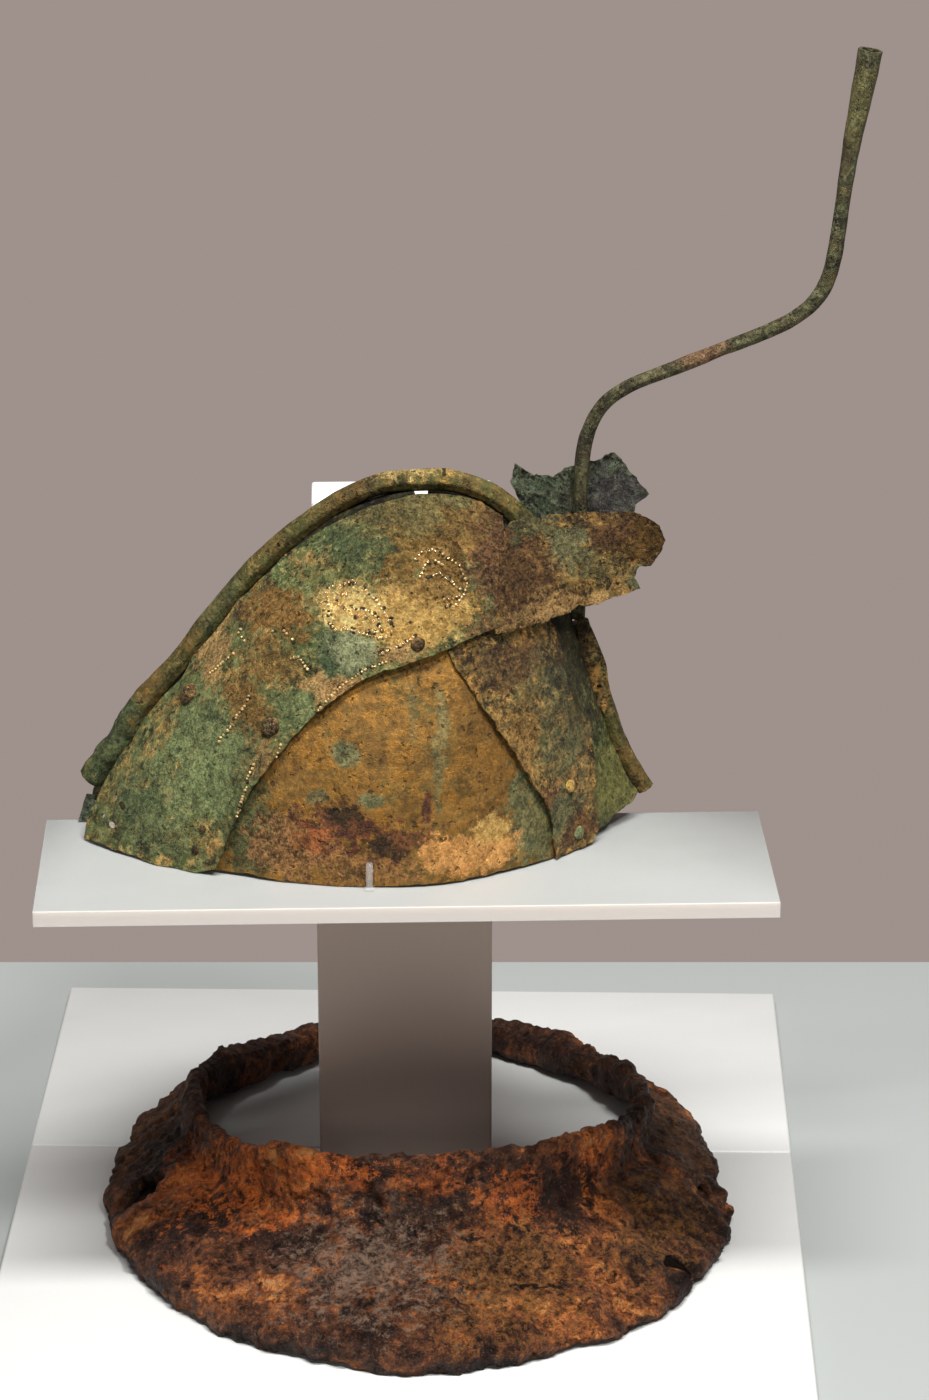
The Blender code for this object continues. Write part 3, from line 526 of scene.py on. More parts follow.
def bronze_skin_group():
    """Bronze gone green and brown: patches, mineral frost, bare metal, pits."""
    inputs = (
        ("Place", "place", ORIGIN),
        ("Metal", "colour", rgb(170, 120, 60)),
        ("Tarnish", "colour", rgb(110, 80, 42)),
        ("Green", "colour", rgb(84, 100, 64)),
        ("Frost", "colour", rgb(140, 155, 115)),
        ("Dark", "colour", rgb(38, 32, 24)),
        ("Green Share", "value", 0.5),
        ("Frost Share", "value", 0.5),
        ("Metal Share", "value", 0.3),
        ("Dark Share", "value", 0.3),
        ("Grain Scale", "value", 1.0),
    )
    outputs = (
        ("Colour", "colour"), ("Metallic", "value"), ("Roughness", "value"), ("Height", "value"),
        ("Grain", "value"), ("Shade", "value"), ("Pits", "value"),
    )
    tree, given, out = new_group("bronze_skin", inputs, outputs)
    place = scaled(tree, given["Place"], given["Grain Scale"])
    bent = wobbled(tree, place, 2.0, 0.7, 4.0, 0.65, 3.0)
    hue = grainy(tree, bent, 0.55, 9.0, 0.80)
    tone = grainy(tree, bent, 1.0, 8.0, 0.74, 11.0)
    fine = grainy(tree, place, 3.4, 6.0, 0.78, 23.0)
    grain = grainy(tree, place, 10.0, 4.0, 0.75, 31.0)
    green = patches(tree, hue, given["Green Share"])
    frost_field = mean(tree, 0.45, grainy(tree, bent, 1.7, 6.0, 0.75, 41.0), fine)
    frost = patches(tree, frost_field, given["Frost Share"])
    frost = calc(tree, "MULTIPLY", frost, mean(tree, 0.6, green, 1.0))
    metal_field = mean(tree, 0.45, grainy(tree, bent, 0.8, 6.0, 0.75, 53.0), fine)
    metal = patches(tree, metal_field, given["Metal Share"])
    crumbs = grainy(tree, place, 5.5, 5.0, 0.78, 71.0)
    dark_field = mean(tree, 0.4, grainy(tree, bent, 1.2, 6.0, 0.75, 67.0), crumbs)
    dark = patches(tree, dark_field, given["Dark Share"])
    pits = remap(tree, grainy(tree, place, 4.2, 2.0, 0.6, 91.0), 0.635, 0.70)
    colour = blend(tree, green, given["Tarnish"], given["Green"])
    colour = blend(tree, frost, colour, given["Frost"])
    colour = blend(tree, metal, colour, given["Metal"])
    colour = blend(tree, dark, colour, given["Dark"])
    bare = calc(tree, "MULTIPLY", metal, calc(tree, "SUBTRACT", 1.0, dark))
    crust_rough = remap(tree, fine, 0.35, 0.65, 0.46, 0.70)
    metal_rough = remap(tree, grain, 0.35, 0.65, 0.26, 0.46)
    height = total(
        tree, (fine, 0.9), (grain, 0.5), (tone, 0.9), (dark, -0.30), (pits, -0.9), (frost, 0.14))
    both = mean(tree, 0.5, fine, grain)
    results = {
        "Colour": colour, "Metallic": mean(tree, bare, 0.3, 0.85),
        "Roughness": mean(tree, bare, crust_rough, metal_rough), "Height": height, "Grain": both,
        "Shade": remap(tree, mean(tree, 0.5, tone, both), 0.36, 0.64, 0.45, 1.55), "Pits": pits,
    }
    for name, value in results.items():
        plug(tree, out[name], value)
    return tree


def stain_group():
    """A patch at one place, its edge broken up by noise at every size."""
    inputs = (
        ("Place", "place", ORIGIN), ("Centre", "place", ORIGIN), ("Reach", "place", (1.0, 1.0, 1.0)),
        ("Ragged", "value", 1.0), ("Strength", "value", 1.0),
    )
    tree, given, out = new_group("stain", inputs, (("Mask", "value"),))
    bent = wobbled(tree, given["Place"], calc(tree, "MULTIPLY", given["Ragged"], 2.2), 0.8, 4.0, 0.65, 5.0)
    offset = vector(tree, "DIVIDE", vector(tree, "SUBTRACT", bent, given["Centre"]), given["Reach"])
    broken = calc(tree, "SUBTRACT", grainy(tree, given["Place"], 2.0, 8.0, 0.82, 15.0), 0.5)
    broken = calc(tree, "MULTIPLY", broken, calc(tree, "MULTIPLY", given["Ragged"], 4.5))
    distance = calc(tree, "ADD", vector(tree, "LENGTH", offset), broken)
    plug(tree, out["Mask"], calc(tree, "MULTIPLY", remap(tree, distance, 1.12, 0.78), given["Strength"]))
    return tree


def crack_group():
    """A thin wandering line between two places."""
    inputs = (
        ("Place", "place", ORIGIN), ("Start", "place", ORIGIN), ("End", "place", (1.0, 0.0, 0.0)),
        ("Width", "value", 0.05), ("Wander", "value", 0.3),
    )
    tree, given, out = new_group("crack", inputs, (("Mask", "value"),))
    bent = wobbled(tree, given["Place"], given["Wander"], 1.8, 4.0, 0.65, 9.0)
    offset = vector(tree, "SUBTRACT", bent, given["Start"])
    along = vector(tree, "SUBTRACT", given["End"], given["Start"])
    whole = vector(tree, "DOT_PRODUCT", along, along)
    share = calc(tree, "DIVIDE", vector(tree, "DOT_PRODUCT", offset, along), whole, True)
    away = vector(tree, "LENGTH", vector(tree, "SUBTRACT", offset, scaled(tree, along, share)))
    plug(tree, out["Mask"], remap(tree, calc(tree, "DIVIDE", away, given["Width"]), 1.2, 0.5))
    return tree


def smudge_group():
    """Faint wiped marks and fine scratches on a smooth plastic."""
    inputs = (("Place", "place", ORIGIN), ("Roughness", "value", 0.4), ("Amount", "value", 0.1))
    tree, given, out = new_group("smudges", inputs, (("Roughness", "value"), ("Height", "value")))
    wiped = grainy(tree, vector(tree, "MULTIPLY", given["Place"], (1.0, 2.5, 1.0)), 0.35, 4.0, 0.6)
    fine = grainy(tree, given["Place"], 9.0, 2.0, 0.5)
    change = calc(tree, "MULTIPLY", calc(tree, "SUBTRACT", wiped, 0.5), given["Amount"])
    plug(tree, out["Roughness"], calc(tree, "ADD", given["Roughness"], change))
    plug(tree, out["Height"], mean(tree, 0.7, wiped, fine))
    return tree


BRONZE_SKIN = bronze_skin_group()
STAIN = stain_group()
CRACK = crack_group()
SMUDGES = smudge_group()


# Finishes.

# The crusted metals' Specular IOR Level; a plain glossy surface has 0.5.
DULL = 0.3


class Finish:
    """A material being made: its tree, its shader and the crown's centimetres."""

    def __init__(self, name):
        self.material = bpy.data.materials.new(name)
        self.material.use_nodes = True
        self.tree = self.material.node_tree
        self.shader = self.tree.nodes["Principled BSDF"]
        where = {"Vector": add(self.tree, "TexCoord").outputs["Object"], "Angle": -CROWN_TURN}
        turned = add(self.tree, "VectorRotate", where, rotation_type="Z_AXIS")
        moved = vector(self.tree, "SUBTRACT", turned.outputs[0], (0.0, CROWN_MIDDLE_Y, SHELF_TOP))
        self.place = scaled(self.tree, moved, 1.0 / CM)

    def mask(self, group, **inputs):
        """Where a stain or a crack is."""
        return use(self.tree, group, {"Place": self.place, **inputs})["Mask"]

    def bump(self, height, depth, strength=1.0):
        made = add(self.tree, "Bump", {"Strength": strength, "Distance": depth, "Height": height})
        plug(self.tree, self.shader.inputs["Normal"], made.outputs["Normal"])

    def coat(self, values):
        """Give the shader its values, by the names of its sockets."""
        for name, value in values.items():
            plug(self.tree, self.shader.inputs[name], value)
        return self.material


SKIN_COLOURS = ("Metal", "Tarnish", "Green", "Frost", "Dark")
SKIN_SHARES = ("Green Share", "Frost Share", "Metal Share", "Dark Share")


def skin_of(colours, shares, grain=1.0):
    """The bronze skin's inputs: its five colours and four shares, in the order of the names above."""
    skin = {name: rgb(*colour) for name, colour in zip(SKIN_COLOURS, colours)}
    return {**skin, **dict(zip(SKIN_SHARES, shares)), "Grain Scale": grain}


def bronze(name, skin, stains=(), cracks=(), depth=0.0006):
    """A bronze finish: the skin's own values, then stains and cracks by place.

    A stain is (centre, reach, ragged, strength, light, dark, metallic, roughness);
    a crack is (start, end, width, wander).
    """
    finish = Finish(name)
    tree = finish.tree
    made = use(tree, BRONZE_SKIN, {"Place": finish.place, **skin})
    colour, metallic, roughness, height = (made[key] for key in ("Colour", "Metallic", "Roughness", "Height"))
    speckle = remap(tree, made["Grain"], 0.40, 0.60)
    for centre, reach, ragged, strength, light, dark, metal, rough in stains:
        mask = finish.mask(STAIN, Centre=centre, Reach=reach, Ragged=ragged, Strength=strength)
        colour = blend(tree, mask, colour, blend(tree, speckle, dark, light))
        metallic = mean(tree, mask, metallic, metal)
        roughness = mean(tree, mask, roughness, rough)
    colour = scaled(tree, colour, mean(tree, calc(tree, "MULTIPLY", metallic, 0.6), made["Shade"], 1.0))
    colour = blend(tree, calc(tree, "MULTIPLY", made["Pits"], 0.8), colour, skin["Dark"])
    for start, end, width, wander in cracks:
        mask = finish.mask(CRACK, Start=start, End=end, Width=width, Wander=wander)
        colour = blend(tree, calc(tree, "MULTIPLY", mask, 0.9), colour, rgb(24, 19, 14))
        height = calc(tree, "SUBTRACT", height, mask)
    finish.bump(height, depth)
    return finish.coat({
        "Base Color": colour, "Metallic": metallic, "Roughness": roughness, "Specular IOR Level": DULL})


# Colours of stains on the bronze: light and dark, metallic and roughness.
GOLD = (rgb(250, 208, 128), rgb(200, 152, 80), 0.85, 0.34)
BRIGHT_GOLD = (rgb(255, 232, 160), rgb(224, 172, 92), 0.9, 0.28)
OCHRE_BROWN = (rgb(176, 138, 80), rgb(104, 76, 38), 0.5, 0.42)
BUFF = (rgb(204, 164, 108), rgb(128, 96, 54), 0.5, 0.45)
PALE_GREEN = (rgb(132, 142, 92), rgb(80, 92, 56), 0.1, 0.6)
DEEP_GREEN = (rgb(82, 96, 60), rgb(40, 50, 32), 0.1, 0.55)
SAGE = (rgb(118, 122, 82), rgb(62, 72, 50), 0.15, 0.55)
GREY_GREEN = (rgb(166, 168, 124), rgb(114, 118, 82), 0.3, 0.42)
RED_BROWN = (rgb(112, 62, 38), rgb(44, 24, 22), 0.15, 0.6)
CHESTNUT = (rgb(122, 88, 56), rgb(50, 35, 27), 0.3, 0.5)
TAN = (rgb(178, 128, 80), rgb(80, 54, 34), 0.45, 0.42)
BROWN = (rgb(156, 114, 58), rgb(94, 66, 34), 0.45, 0.45)
OLIVE = (rgb(120, 108, 66), rgb(62, 58, 36), 0.25, 0.5)
DARK = (rgb(62, 47, 26), rgb(28, 21, 12), 0.0, 0.85)
COPPER = (rgb(98, 70, 32), rgb(44, 30, 16), 0.4, 0.45)
BARE_SPOT = (rgb(214, 204, 190), rgb(190, 180, 168), 0.0, 0.6)
WORN_GOLD = (rgb(255, 236, 190), rgb(224, 180, 116), 0.9, 0.25)


def gold_finish():
    """The golden lower side plate."""
    skin = skin_of(
        ((164, 118, 56), (122, 88, 40), (96, 84, 42), (138, 110, 58), (72, 52, 26)),
        (0.40, 0.40, 0.46, 0.22), 0.8)
    stains = (
        ((1.2, -6.5, 5.8), (0.30, 3.0, 2.4), 0.5, 0.55, *SAGE),
        ((0.1, -6.5, 7.2), (0.22, 3.0, 1.4), 0.5, 0.35, *SAGE),
        ((-2.6, -6.6, 5.5), (0.62, 3.0, 0.5), 0.5, 0.75, *SAGE),
        ((-1.6, -7.2, 3.8), (0.55, 3.0, 0.4), 0.5, 0.8, *SAGE),
        ((-3.7, -6.8, 3.7), (0.5, 3.0, 0.4), 0.5, 0.7, *SAGE),
        ((3.6, -5.8, 5.0), (1.6, 3.0, 3.4), 0.8, 0.35, rgb(136, 98, 48), rgb(92, 64, 34), 0.4, 0.42),
        ((-6.5, -6.4, 1.8), (1.6, 3.0, 1.9), 0.9, 0.85, *DEEP_GREEN),
        ((5.0, -5.4, 2.0), (1.3, 3.0, 2.2), 1.2, 0.8, *SAGE),
        ((5.6, -4.2, 6.4), (1.5, 3.0, 3.2), 0.6, 0.65, *DEEP_GREEN),
        ((3.6, -4.6, 9.0), (1.2, 3.0, 1.2), 0.6, 0.7, *GREY_GREEN),
        ((-4.6, -7.0, 1.6), (2.0, 3.0, 1.5), 1.0, 0.8, *TAN),
        ((-1.5, -7.3, 0.9), (1.8, 3.0, 0.8), 1.0, 0.6, *TAN),
        ((-3.0, -7.1, 2.5), (1.5, 3.0, 1.0), 1.3, 0.9, *RED_BROWN),
        ((-0.6, -7.4, 2.0), (1.8, 3.0, 0.7), 1.4, 0.8, *RED_BROWN),
        ((-2.6, -7.1, 2.9), (0.9, 3.0, 0.5), 1.0, 0.9, *DARK),
        ((-0.9, -7.4, 1.7), (0.9, 3.0, 0.4), 1.0, 0.8, *DARK),
        ((-4.0, -7.0, 2.0), (0.7, 3.0, 0.5), 1.0, 0.7, rgb(176, 104, 54), rgb(96, 54, 30), 0.3, 0.5),
        # A smoother, more metallic patch, its colour also lightened as painted reflection of the white shelf
        # above.
        ((2.4, -6.9, 1.2), (2.1, 3.0, 0.9), 0.6, 0.97, rgb(246, 184, 112), rgb(206, 144, 80), 0.8, 0.34),
        ((3.2, -6.6, 2.0), (0.9, 3.0, 0.7), 0.6, 0.9, *GOLD),
        ((0.7, -7.0, 3.3), (0.25, 3.0, 0.6), 0.4, 0.85, *RED_BROWN),
    )
    cracks = (
        ((-1.7, -7.3, 3.0), (0.6, -7.4, 2.9), 0.05, 0.5),
        ((-3.9, -6.9, 3.2), (-2.0, -7.2, 3.3), 0.07, 1.1),
        ((-2.1, -7.2, 3.2), (-2.3, -7.3, 1.6), 0.07, 0.9),
        ((-4.2, -6.9, 2.2), (-2.4, -7.2, 1.4), 0.06, 1.1),
    )
    return bronze("gold_bronze", skin, stains, cracks)


def far_gold_finish():
    """The same plate on the far side."""
    skin = skin_of(
        ((172, 130, 68), (122, 92, 46), (88, 94, 54), (134, 132, 82), (52, 40, 26)),
        (0.52, 0.45, 0.42, 0.32))
    return bronze("gold_bronze_far", skin)


def patina_finish():
    """The broad upper sheet, green and gold."""
    skin = skin_of(
        ((206, 162, 96), (136, 106, 58), (86, 96, 54), (126, 134, 86), (42, 40, 26)),
        (0.62, 0.46, 0.30, 0.38))
    stains = (
        ((-8.4, -4.3, 4.6), (1.7, 3.0, 2.6), 1.0, 0.85, *PALE_GREEN),
        ((-10.2, -3.8, 2.4), (1.8, 3.0, 1.8), 1.2, 0.7, *PALE_GREEN),
        ((-11.2, -3.4, 2.2), (1.4, 3.0, 1.2), 1.0, 0.5, *DEEP_GREEN),
        ((-6.6, -5.0, 4.6), (0.8, 3.0, 1.6), 1.0, 0.4, *DEEP_GREEN),
        ((-8.0, -1.2, 8.4), (0.6, 3.0, 1.8), 0.9, 0.8, *BUFF),
        ((-5.2, -2.6, 10.3), (1.7, 3.0, 0.9), 1.0, 0.85, *BROWN),
        ((-5.6, -4.0, 8.6), (1.2, 3.0, 0.9), 1.0, 0.6, *BROWN),
        ((-6.6, -4.0, 6.9), (0.9, 3.0, 0.9), 1.0, 0.7, *BROWN),
        ((-4.5, -5.2, 7.0), (0.9, 3.0, 0.9), 0.9, 0.6, *PALE_GREEN),
        ((1.0, -2.6, 13.0), (3.4, 4.0, 1.4), 1.0, 0.75, *BROWN),
        ((-2.0, -2.6, 13.0), (1.6, 4.0, 0.7), 1.0, 0.85, *DEEP_GREEN),
        ((0.6, -1.5, 14.2), (5.2, 4.0, 0.7), 0.8, 0.85, *OLIVE),
        ((2.4, -1.5, 13.9), (1.2, 4.0, 0.4), 0.8, 0.5, *BROWN),
        ((4.4, -3.0, 12.2), (2.3, 4.0, 2.4), 0.9, 0.95, *CHESTNUT),
        ((3.4, -3.8, 10.2), (1.6, 4.0, 0.5), 0.8, 0.75, *CHESTNUT),
        ((0.2, -4.8, 10.75), (2.6, 3.0, 1.1), 0.5, 0.97, *GOLD),
        ((1.2, -4.2, 12.0), (1.3, 3.0, 1.0), 0.7, 0.85, *OCHRE_BROWN),
        ((-2.3, -4.3, 10.85), (1.45, 3.0, 0.95), 0.35, 0.98, *BRIGHT_GOLD),
        ((-2.9, -5.6, 8.1), (1.5, 3.0, 0.5), 0.6, 0.9, *BUFF),
        ((-0.6, -5.4, 9.4), (1.1, 3.0, 0.4), 0.5, 0.85, *BUFF),
        ((-6.0, -5.3, 4.2), (0.5, 3.0, 1.6), 0.8, 0.6, *BUFF),
        ((-11.83, -2.5, 1.89), (0.14, 3.0, 0.14), 0.03, 1.0, *DARK),
        ((-12.28, -2.5, 1.05), (0.13, 3.0, 0.13), 0.03, 1.0, *BARE_SPOT),
        ((-2.8, -5.0, 9.30), (1.0, 3.0, 0.95), 0.4, 0.97, *SAGE),
        ((-3.2, -5.0, 8.9), (0.35, 3.0, 0.6), 0.3, 0.9, *DEEP_GREEN),
        ((-2.2, -5.1, 9.4), (1.0, 3.0, 0.75), 0.3, 0.9, *GREY_GREEN),
    )
    cracks = (
        ((-2.1, -1.5, 13.5), (3.0, 0.0, 14.5), 0.045, 0.3),
        ((-3.6, -2.1, 12.2), (-3.4, -3.0, 11.5), 0.05, 0.3),
        ((1.1, -1.3, 14.3), (1.1, -2.2, 13.6), 0.06, 0.3),
        ((-8.2, -5.4, 1.0), (-5.5, -5.4, 3.2), 0.04, 0.6),
    )
    return bronze("patina_bronze", skin, stains, cracks, depth=0.0011)


def green_finish():
    """The walls that close the front."""
    skin = skin_of(
        ((170, 132, 74), (106, 86, 46), (78, 84, 44), (126, 130, 80), (34, 32, 20)),
        (0.66, 0.44, 0.22, 0.42))
    stains = (
        ((8.6, -1.2, 1.8), (1.4, 3.0, 1.8), 0.8, 0.7, rgb(140, 132, 74), rgb(92, 92, 50), 0.2, 0.55),
        # Painted shade: dark under the lobe, between the front plate and the tube.
        ((6.9, -1.4, 7.8), (1.5, 4.0, 3.4), 1.3, 0.9, rgb(58, 50, 28), rgb(24, 20, 12), 0.0, 0.9),
    )
    return bronze("green_bronze", skin, stains)


def ridge_finish():
    """The dark strips along the ridge."""
    skin = skin_of(
        ((112, 88, 52), (58, 46, 30), (48, 48, 30), (84, 80, 52), (20, 17, 12)),
        (0.50, 0.36, 0.22, 0.52))
    return bronze("ridge_bronze", skin)


def mottled_finish():
    """The front plate and the flap by the tube."""
    skin = skin_of(
        ((212, 160, 90), (124, 92, 48), (92, 90, 52), (160, 138, 86), (54, 42, 30)),
        (0.48, 0.50, 0.38, 0.42))
    stains = (
        ((4.0, -4.6, 8.4), (1.4, 4.0, 1.0), 1.0, 0.7, *CHESTNUT),
        # Painted shade: the plate's right part dark under the lobe.
        ((6.8, -2.6, 8.0), (1.0, 4.0, 2.2), 0.7, 0.85, *DARK),
        ((6.9, -3.2, 5.2), (0.7, 4.0, 1.6), 0.8, 0.6, *OLIVE),
        ((5.6, -4.2, 7.0), (1.0, 4.0, 1.2), 1.3, 0.4, *SAGE),
        ((4.6, -4.6, 5.2), (0.6, 4.0, 1.5), 1.0, 0.8, *OCHRE_BROWN),
        ((6.4, -3.9, 4.4), (0.9, 4.0, 1.0), 0.9, 0.55, *SAGE),
        ((6.1, -4.0, 2.0), (1.0, 4.0, 0.9), 0.9, 0.75, *SAGE),
        ((5.6, -4.4, 2.9), (0.5, 4.0, 0.5), 0.9, 0.7, *TAN),
        ((7.0, -3.6, 1.0), (0.8, 4.0, 0.6), 0.8, 0.6, *RED_BROWN),
    )
    return bronze("mottled_bronze", skin, stains, depth=0.0014)


def brown_finish():
    """The lobe that runs on past the crown."""
    skin = skin_of(
        ((202, 156, 92), (132, 98, 50), (104, 96, 54), (160, 136, 84), (52, 36, 26)),
        (0.44, 0.50, 0.36, 0.46))
    stains = (
        ((4.6, -3.4, 12.0), (1.3, 4.0, 2.2), 1.0, 0.85, *CHESTNUT),
        ((5.4, -1.6, 13.3), (1.0, 4.0, 0.5), 0.9, 0.6, *SAGE),
        ((6.8, -2.0, 12.4), (1.0, 4.0, 0.9), 1.0, 0.5, *GREY_GREEN),
        ((9.6, -0.8, 12.7), (1.5, 4.0, 1.0), 0.9, 0.9, *COPPER),
        ((8.3, -0.8, 13.0), (1.1, 4.0, 0.7), 0.9, 0.8, *CHESTNUT),
        ((7.6, -1.6, 11.7), (1.2, 4.0, 0.5), 1.0, 0.6, *OLIVE),
        ((6.0, -3.0, 10.3), (3.2, 4.0, 0.4), 0.7, 0.75, *BUFF),
        ((9.5, -0.8, 11.2), (0.6, 4.0, 0.6), 0.6, 0.8, *SAGE),
    )
    return bronze("brown_bronze", skin, stains, depth=0.0018)


def dark_finish():
    """The ragged tongue behind the rod."""
    skin = skin_of(
        ((156, 148, 114), (94, 88, 68), (86, 98, 72), (130, 138, 112), (30, 30, 26)),
        (0.60, 0.42, 0.20, 0.42), 1.3)
    stains = (((8.6, -0.3, 14.2), (1.5, 3.0, 1.3), 0.9, 0.7, rgb(96, 86, 88), rgb(48, 42, 46), 0.2, 0.5),)
    return bronze("dark_bronze", skin, stains, depth=0.0020)


def tube_finish():
    """The crest tube."""
    skin = skin_of(
        ((158, 122, 66), (110, 86, 44), (82, 80, 40), (134, 118, 70), (46, 38, 22)),
        (0.56, 0.34, 0.26, 0.34))
    stains = (
        # More metallic along the top of the tube, and painted lighter there as painted highlight.
        ((0.3, 0.0, 15.9), (3.6, 2.0, 0.7), 0.7, 0.7, rgb(204, 176, 116), rgb(150, 122, 68), 0.6, 0.38),
        ((-12.2, 0.0, 3.2), (1.8, 2.0, 2.4), 0.9, 0.85, *DEEP_GREEN),
        ((-7.6, 0.0, 9.4), (1.2, 2.0, 1.6), 0.9, 0.5, *DEEP_GREEN),
        ((-2.6, 0.0, 14.2), (1.0, 2.0, 0.8), 0.8, 0.5, *COPPER),
    )
    cracks = (
        ((-5.4, -2.0, 12.0), (-5.0, 2.0, 12.8), 0.08, 0.3),
        ((1.5, -2.0, 14.6), (1.6, 2.0, 16.2), 0.08, 0.2),
    )
    return bronze("tube_bronze", skin, stains, cracks)


def rod_finish():
    """The crest rod."""
    skin = skin_of(
        ((122, 100, 64), (76, 64, 42), (68, 68, 43), (106, 104, 74), (34, 30, 22)),
        (0.52, 0.44, 0.22, 0.40), 1.2)
    stains = (
        ((11.9, 0.0, 20.3), (1.2, 3.0, 0.8), 1.0, 0.6, rgb(158, 116, 84), rgb(88, 60, 44), 0.4, 0.45),
        ((18.1, 0.0, 30.4), (1.2, 3.0, 1.8), 0.8, 0.6, rgb(114, 106, 62), rgb(70, 66, 38), 0.2, 0.5),
    )
    return bronze("rod_bronze", skin, stains)


def rivet_finish():
    """The rivet heads."""
    skin = skin_of(
        ((184, 140, 84), (98, 74, 46), (82, 80, 50), (146, 122, 82), (40, 30, 24)),
        (0.45, 0.42, 0.34, 0.5), 1.4)
    stains = (
        ((6.67, -4.2, 2.95), (0.6, 2.0, 0.6), 0.1, 0.9, rgb(230, 192, 112), rgb(172, 136, 72), 0.6, 0.35),
        ((7.04, -4.1, 0.82), (0.5, 2.0, 0.5), 0.1, 0.9, rgb(154, 162, 116), rgb(104, 112, 74), 0.2, 0.5),
    )
    return bronze("rivet_bronze", skin, stains)


def dot_finish():
    """The punched dots, rubbed bright."""
    skin = skin_of(
        ((246, 212, 152), (190, 152, 92), (134, 128, 80), (200, 168, 112), (60, 46, 30)),
        (0.40, 0.45, 0.62, 0.25))
    stains = (((-0.6, -4.6, 11.4), (3.6, 4.0, 2.2), 0.8, 0.95, *WORN_GOLD),)
    return bronze("punched_bronze", skin, stains)


def dirt_finish():
    """The dirt beside the dots."""
    skin = skin_of(
        ((112, 86, 48), (74, 58, 34), (58, 56, 34), (96, 84, 54), (30, 24, 16)),
        (0.5, 0.3, 0.2, 0.5))
    return bronze("dot_dirt", skin)


# Colours of stains on the iron: light and dark.
ORANGE = (rgb(222, 116, 44), rgb(138, 66, 30))
OCHRE = (rgb(150, 100, 48), rgb(70, 44, 27))
SLATE = (rgb(136, 112, 94), rgb(54, 40, 35))
UMBER = (rgb(72, 45, 31), rgb(34, 22, 17))
RUST_BROWN = (rgb(132, 92, 60), rgb(70, 45, 30))
BLACK = (rgb(42, 25, 19), rgb(18, 11, 9))
# Places on the brim, some of them painted shade as marked: centre, reach, raggedness, strength, light and
# dark.
RUST_PLACES = (
    ((-7.0, -3.4, -15.0), (2.0, 3.0, 1.6), 2.2, 0.9, *ORANGE),
    ((-9.4, -0.6, -16.0), (1.6, 3.0, 1.6), 2.2, 0.8, *ORANGE),
    ((-4.6, -5.6, -13.9), (1.0, 3.0, 1.0), 1.8, 0.9, *ORANGE),
    ((-2.4, -6.6, -13.5), (1.0, 3.0, 0.6), 1.6, 0.9, *ORANGE),
    ((0.8, -7.0, -13.6), (1.6, 3.0, 0.7), 1.8, 0.5, *ORANGE),
    ((1.2, -7.2, -14.8), (2.4, 3.0, 0.9), 1.6, 0.6, *UMBER),
    ((7.6, -4.2, -14.9), (1.6, 3.0, 2.0), 1.6, 0.8, *ORANGE),
    ((4.6, -6.0, -14.9), (1.8, 2.0, 1.2), 1.6, 0.6, *ORANGE),
    ((3.8, -9.4, -16.8), (3.2, 2.6, 1.6), 2.0, 0.75, *OCHRE),
    ((2.3, -11.4, -17.4), (2.6, 2.0, 1.4), 2.0, 0.5, *OCHRE),
    ((9.8, -4.8, -17.0), (2.4, 4.0, 1.6), 2.0, 0.55, *OCHRE),
    ((-1.8, -9.2, -16.5), (3.2, 2.8, 1.8), 2.0, 0.85, *SLATE),
    ((6.5, -4.9, -15.4), (1.3, 2.4, 1.6), 1.4, 0.95, *BLACK),
    ((9.0, -2.6, -15.8), (0.9, 2.0, 1.2), 1.2, 0.5, *BLACK),
    # Painted shade: black round the left hole and the right one.
    ((-11.2, 1.0, -18.0), (1.1, 1.8, 1.0), 0.8, 0.8, *BLACK),
    ((12.4, 0.6, -18.0), (0.8, 1.4, 1.0), 0.8, 0.8, *BLACK),
    ((11.4, -2.6, -17.6), (1.6, 3.0, 1.6), 2.0, 0.5, *OCHRE),
    # Painted shade: black round the low hole on the right.
    ((11.6, -7.6, -18.4), (0.9, 1.2, 1.0), 1.0, 0.9, *BLACK),
    ((12.0, 4.8, -17.5), (1.8, 4.2, 1.8), 1.6, 0.85, *RUST_BROWN),
    ((-11.8, 7.0, -18.2), (1.8, 4.6, 1.8), 1.6, 0.85, *RUST_BROWN),
    # Painted shade: the inside of the back collar darkened in umber, where shade falls.
    ((-8.5, 8.0, -14.5), (3.0, 7.0, 3.0), 1.2, 0.9, *UMBER),
    ((9.0, 9.0, -14.5), (3.0, 7.0, 3.0), 1.2, 0.9, *UMBER),
    ((0.0, 15.0, -15.0), (9.0, 4.0, 3.0), 1.2, 0.9, *UMBER),
)
RUST_CRACKS = (
    ((-0.8, -7.0, -13.2), (1.8, -6.9, -13.7), 0.10, 0.8),
    ((1.8, -6.9, -13.7), (5.2, -5.8, -14.1), 0.10, 0.8),
    ((-1.6, -7.0, -15.4), (1.1, -8.0, -16.0), 0.12, 1.0),
    ((1.1, -8.0, -16.0), (3.4, -7.8, -16.0), 0.10, 1.0),
    ((4.0, -9.8, -17.0), (6.2, -9.7, -17.3), 0.10, 0.9),
    ((-0.9, -10.7, -17.2), (1.5, -11.6, -17.6), 0.09, 1.2),
)


# The crust's colours, from the darkest to the brightest of its noise.
RUST_STOPS = (
    (0.0, rgb(30, 17, 14)), (0.24, rgb(62, 36, 25)), (0.50, rgb(100, 60, 38)),
    (0.74, rgb(140, 82, 46)), (0.90, rgb(186, 108, 52)), (1.0, rgb(204, 140, 80)),
)


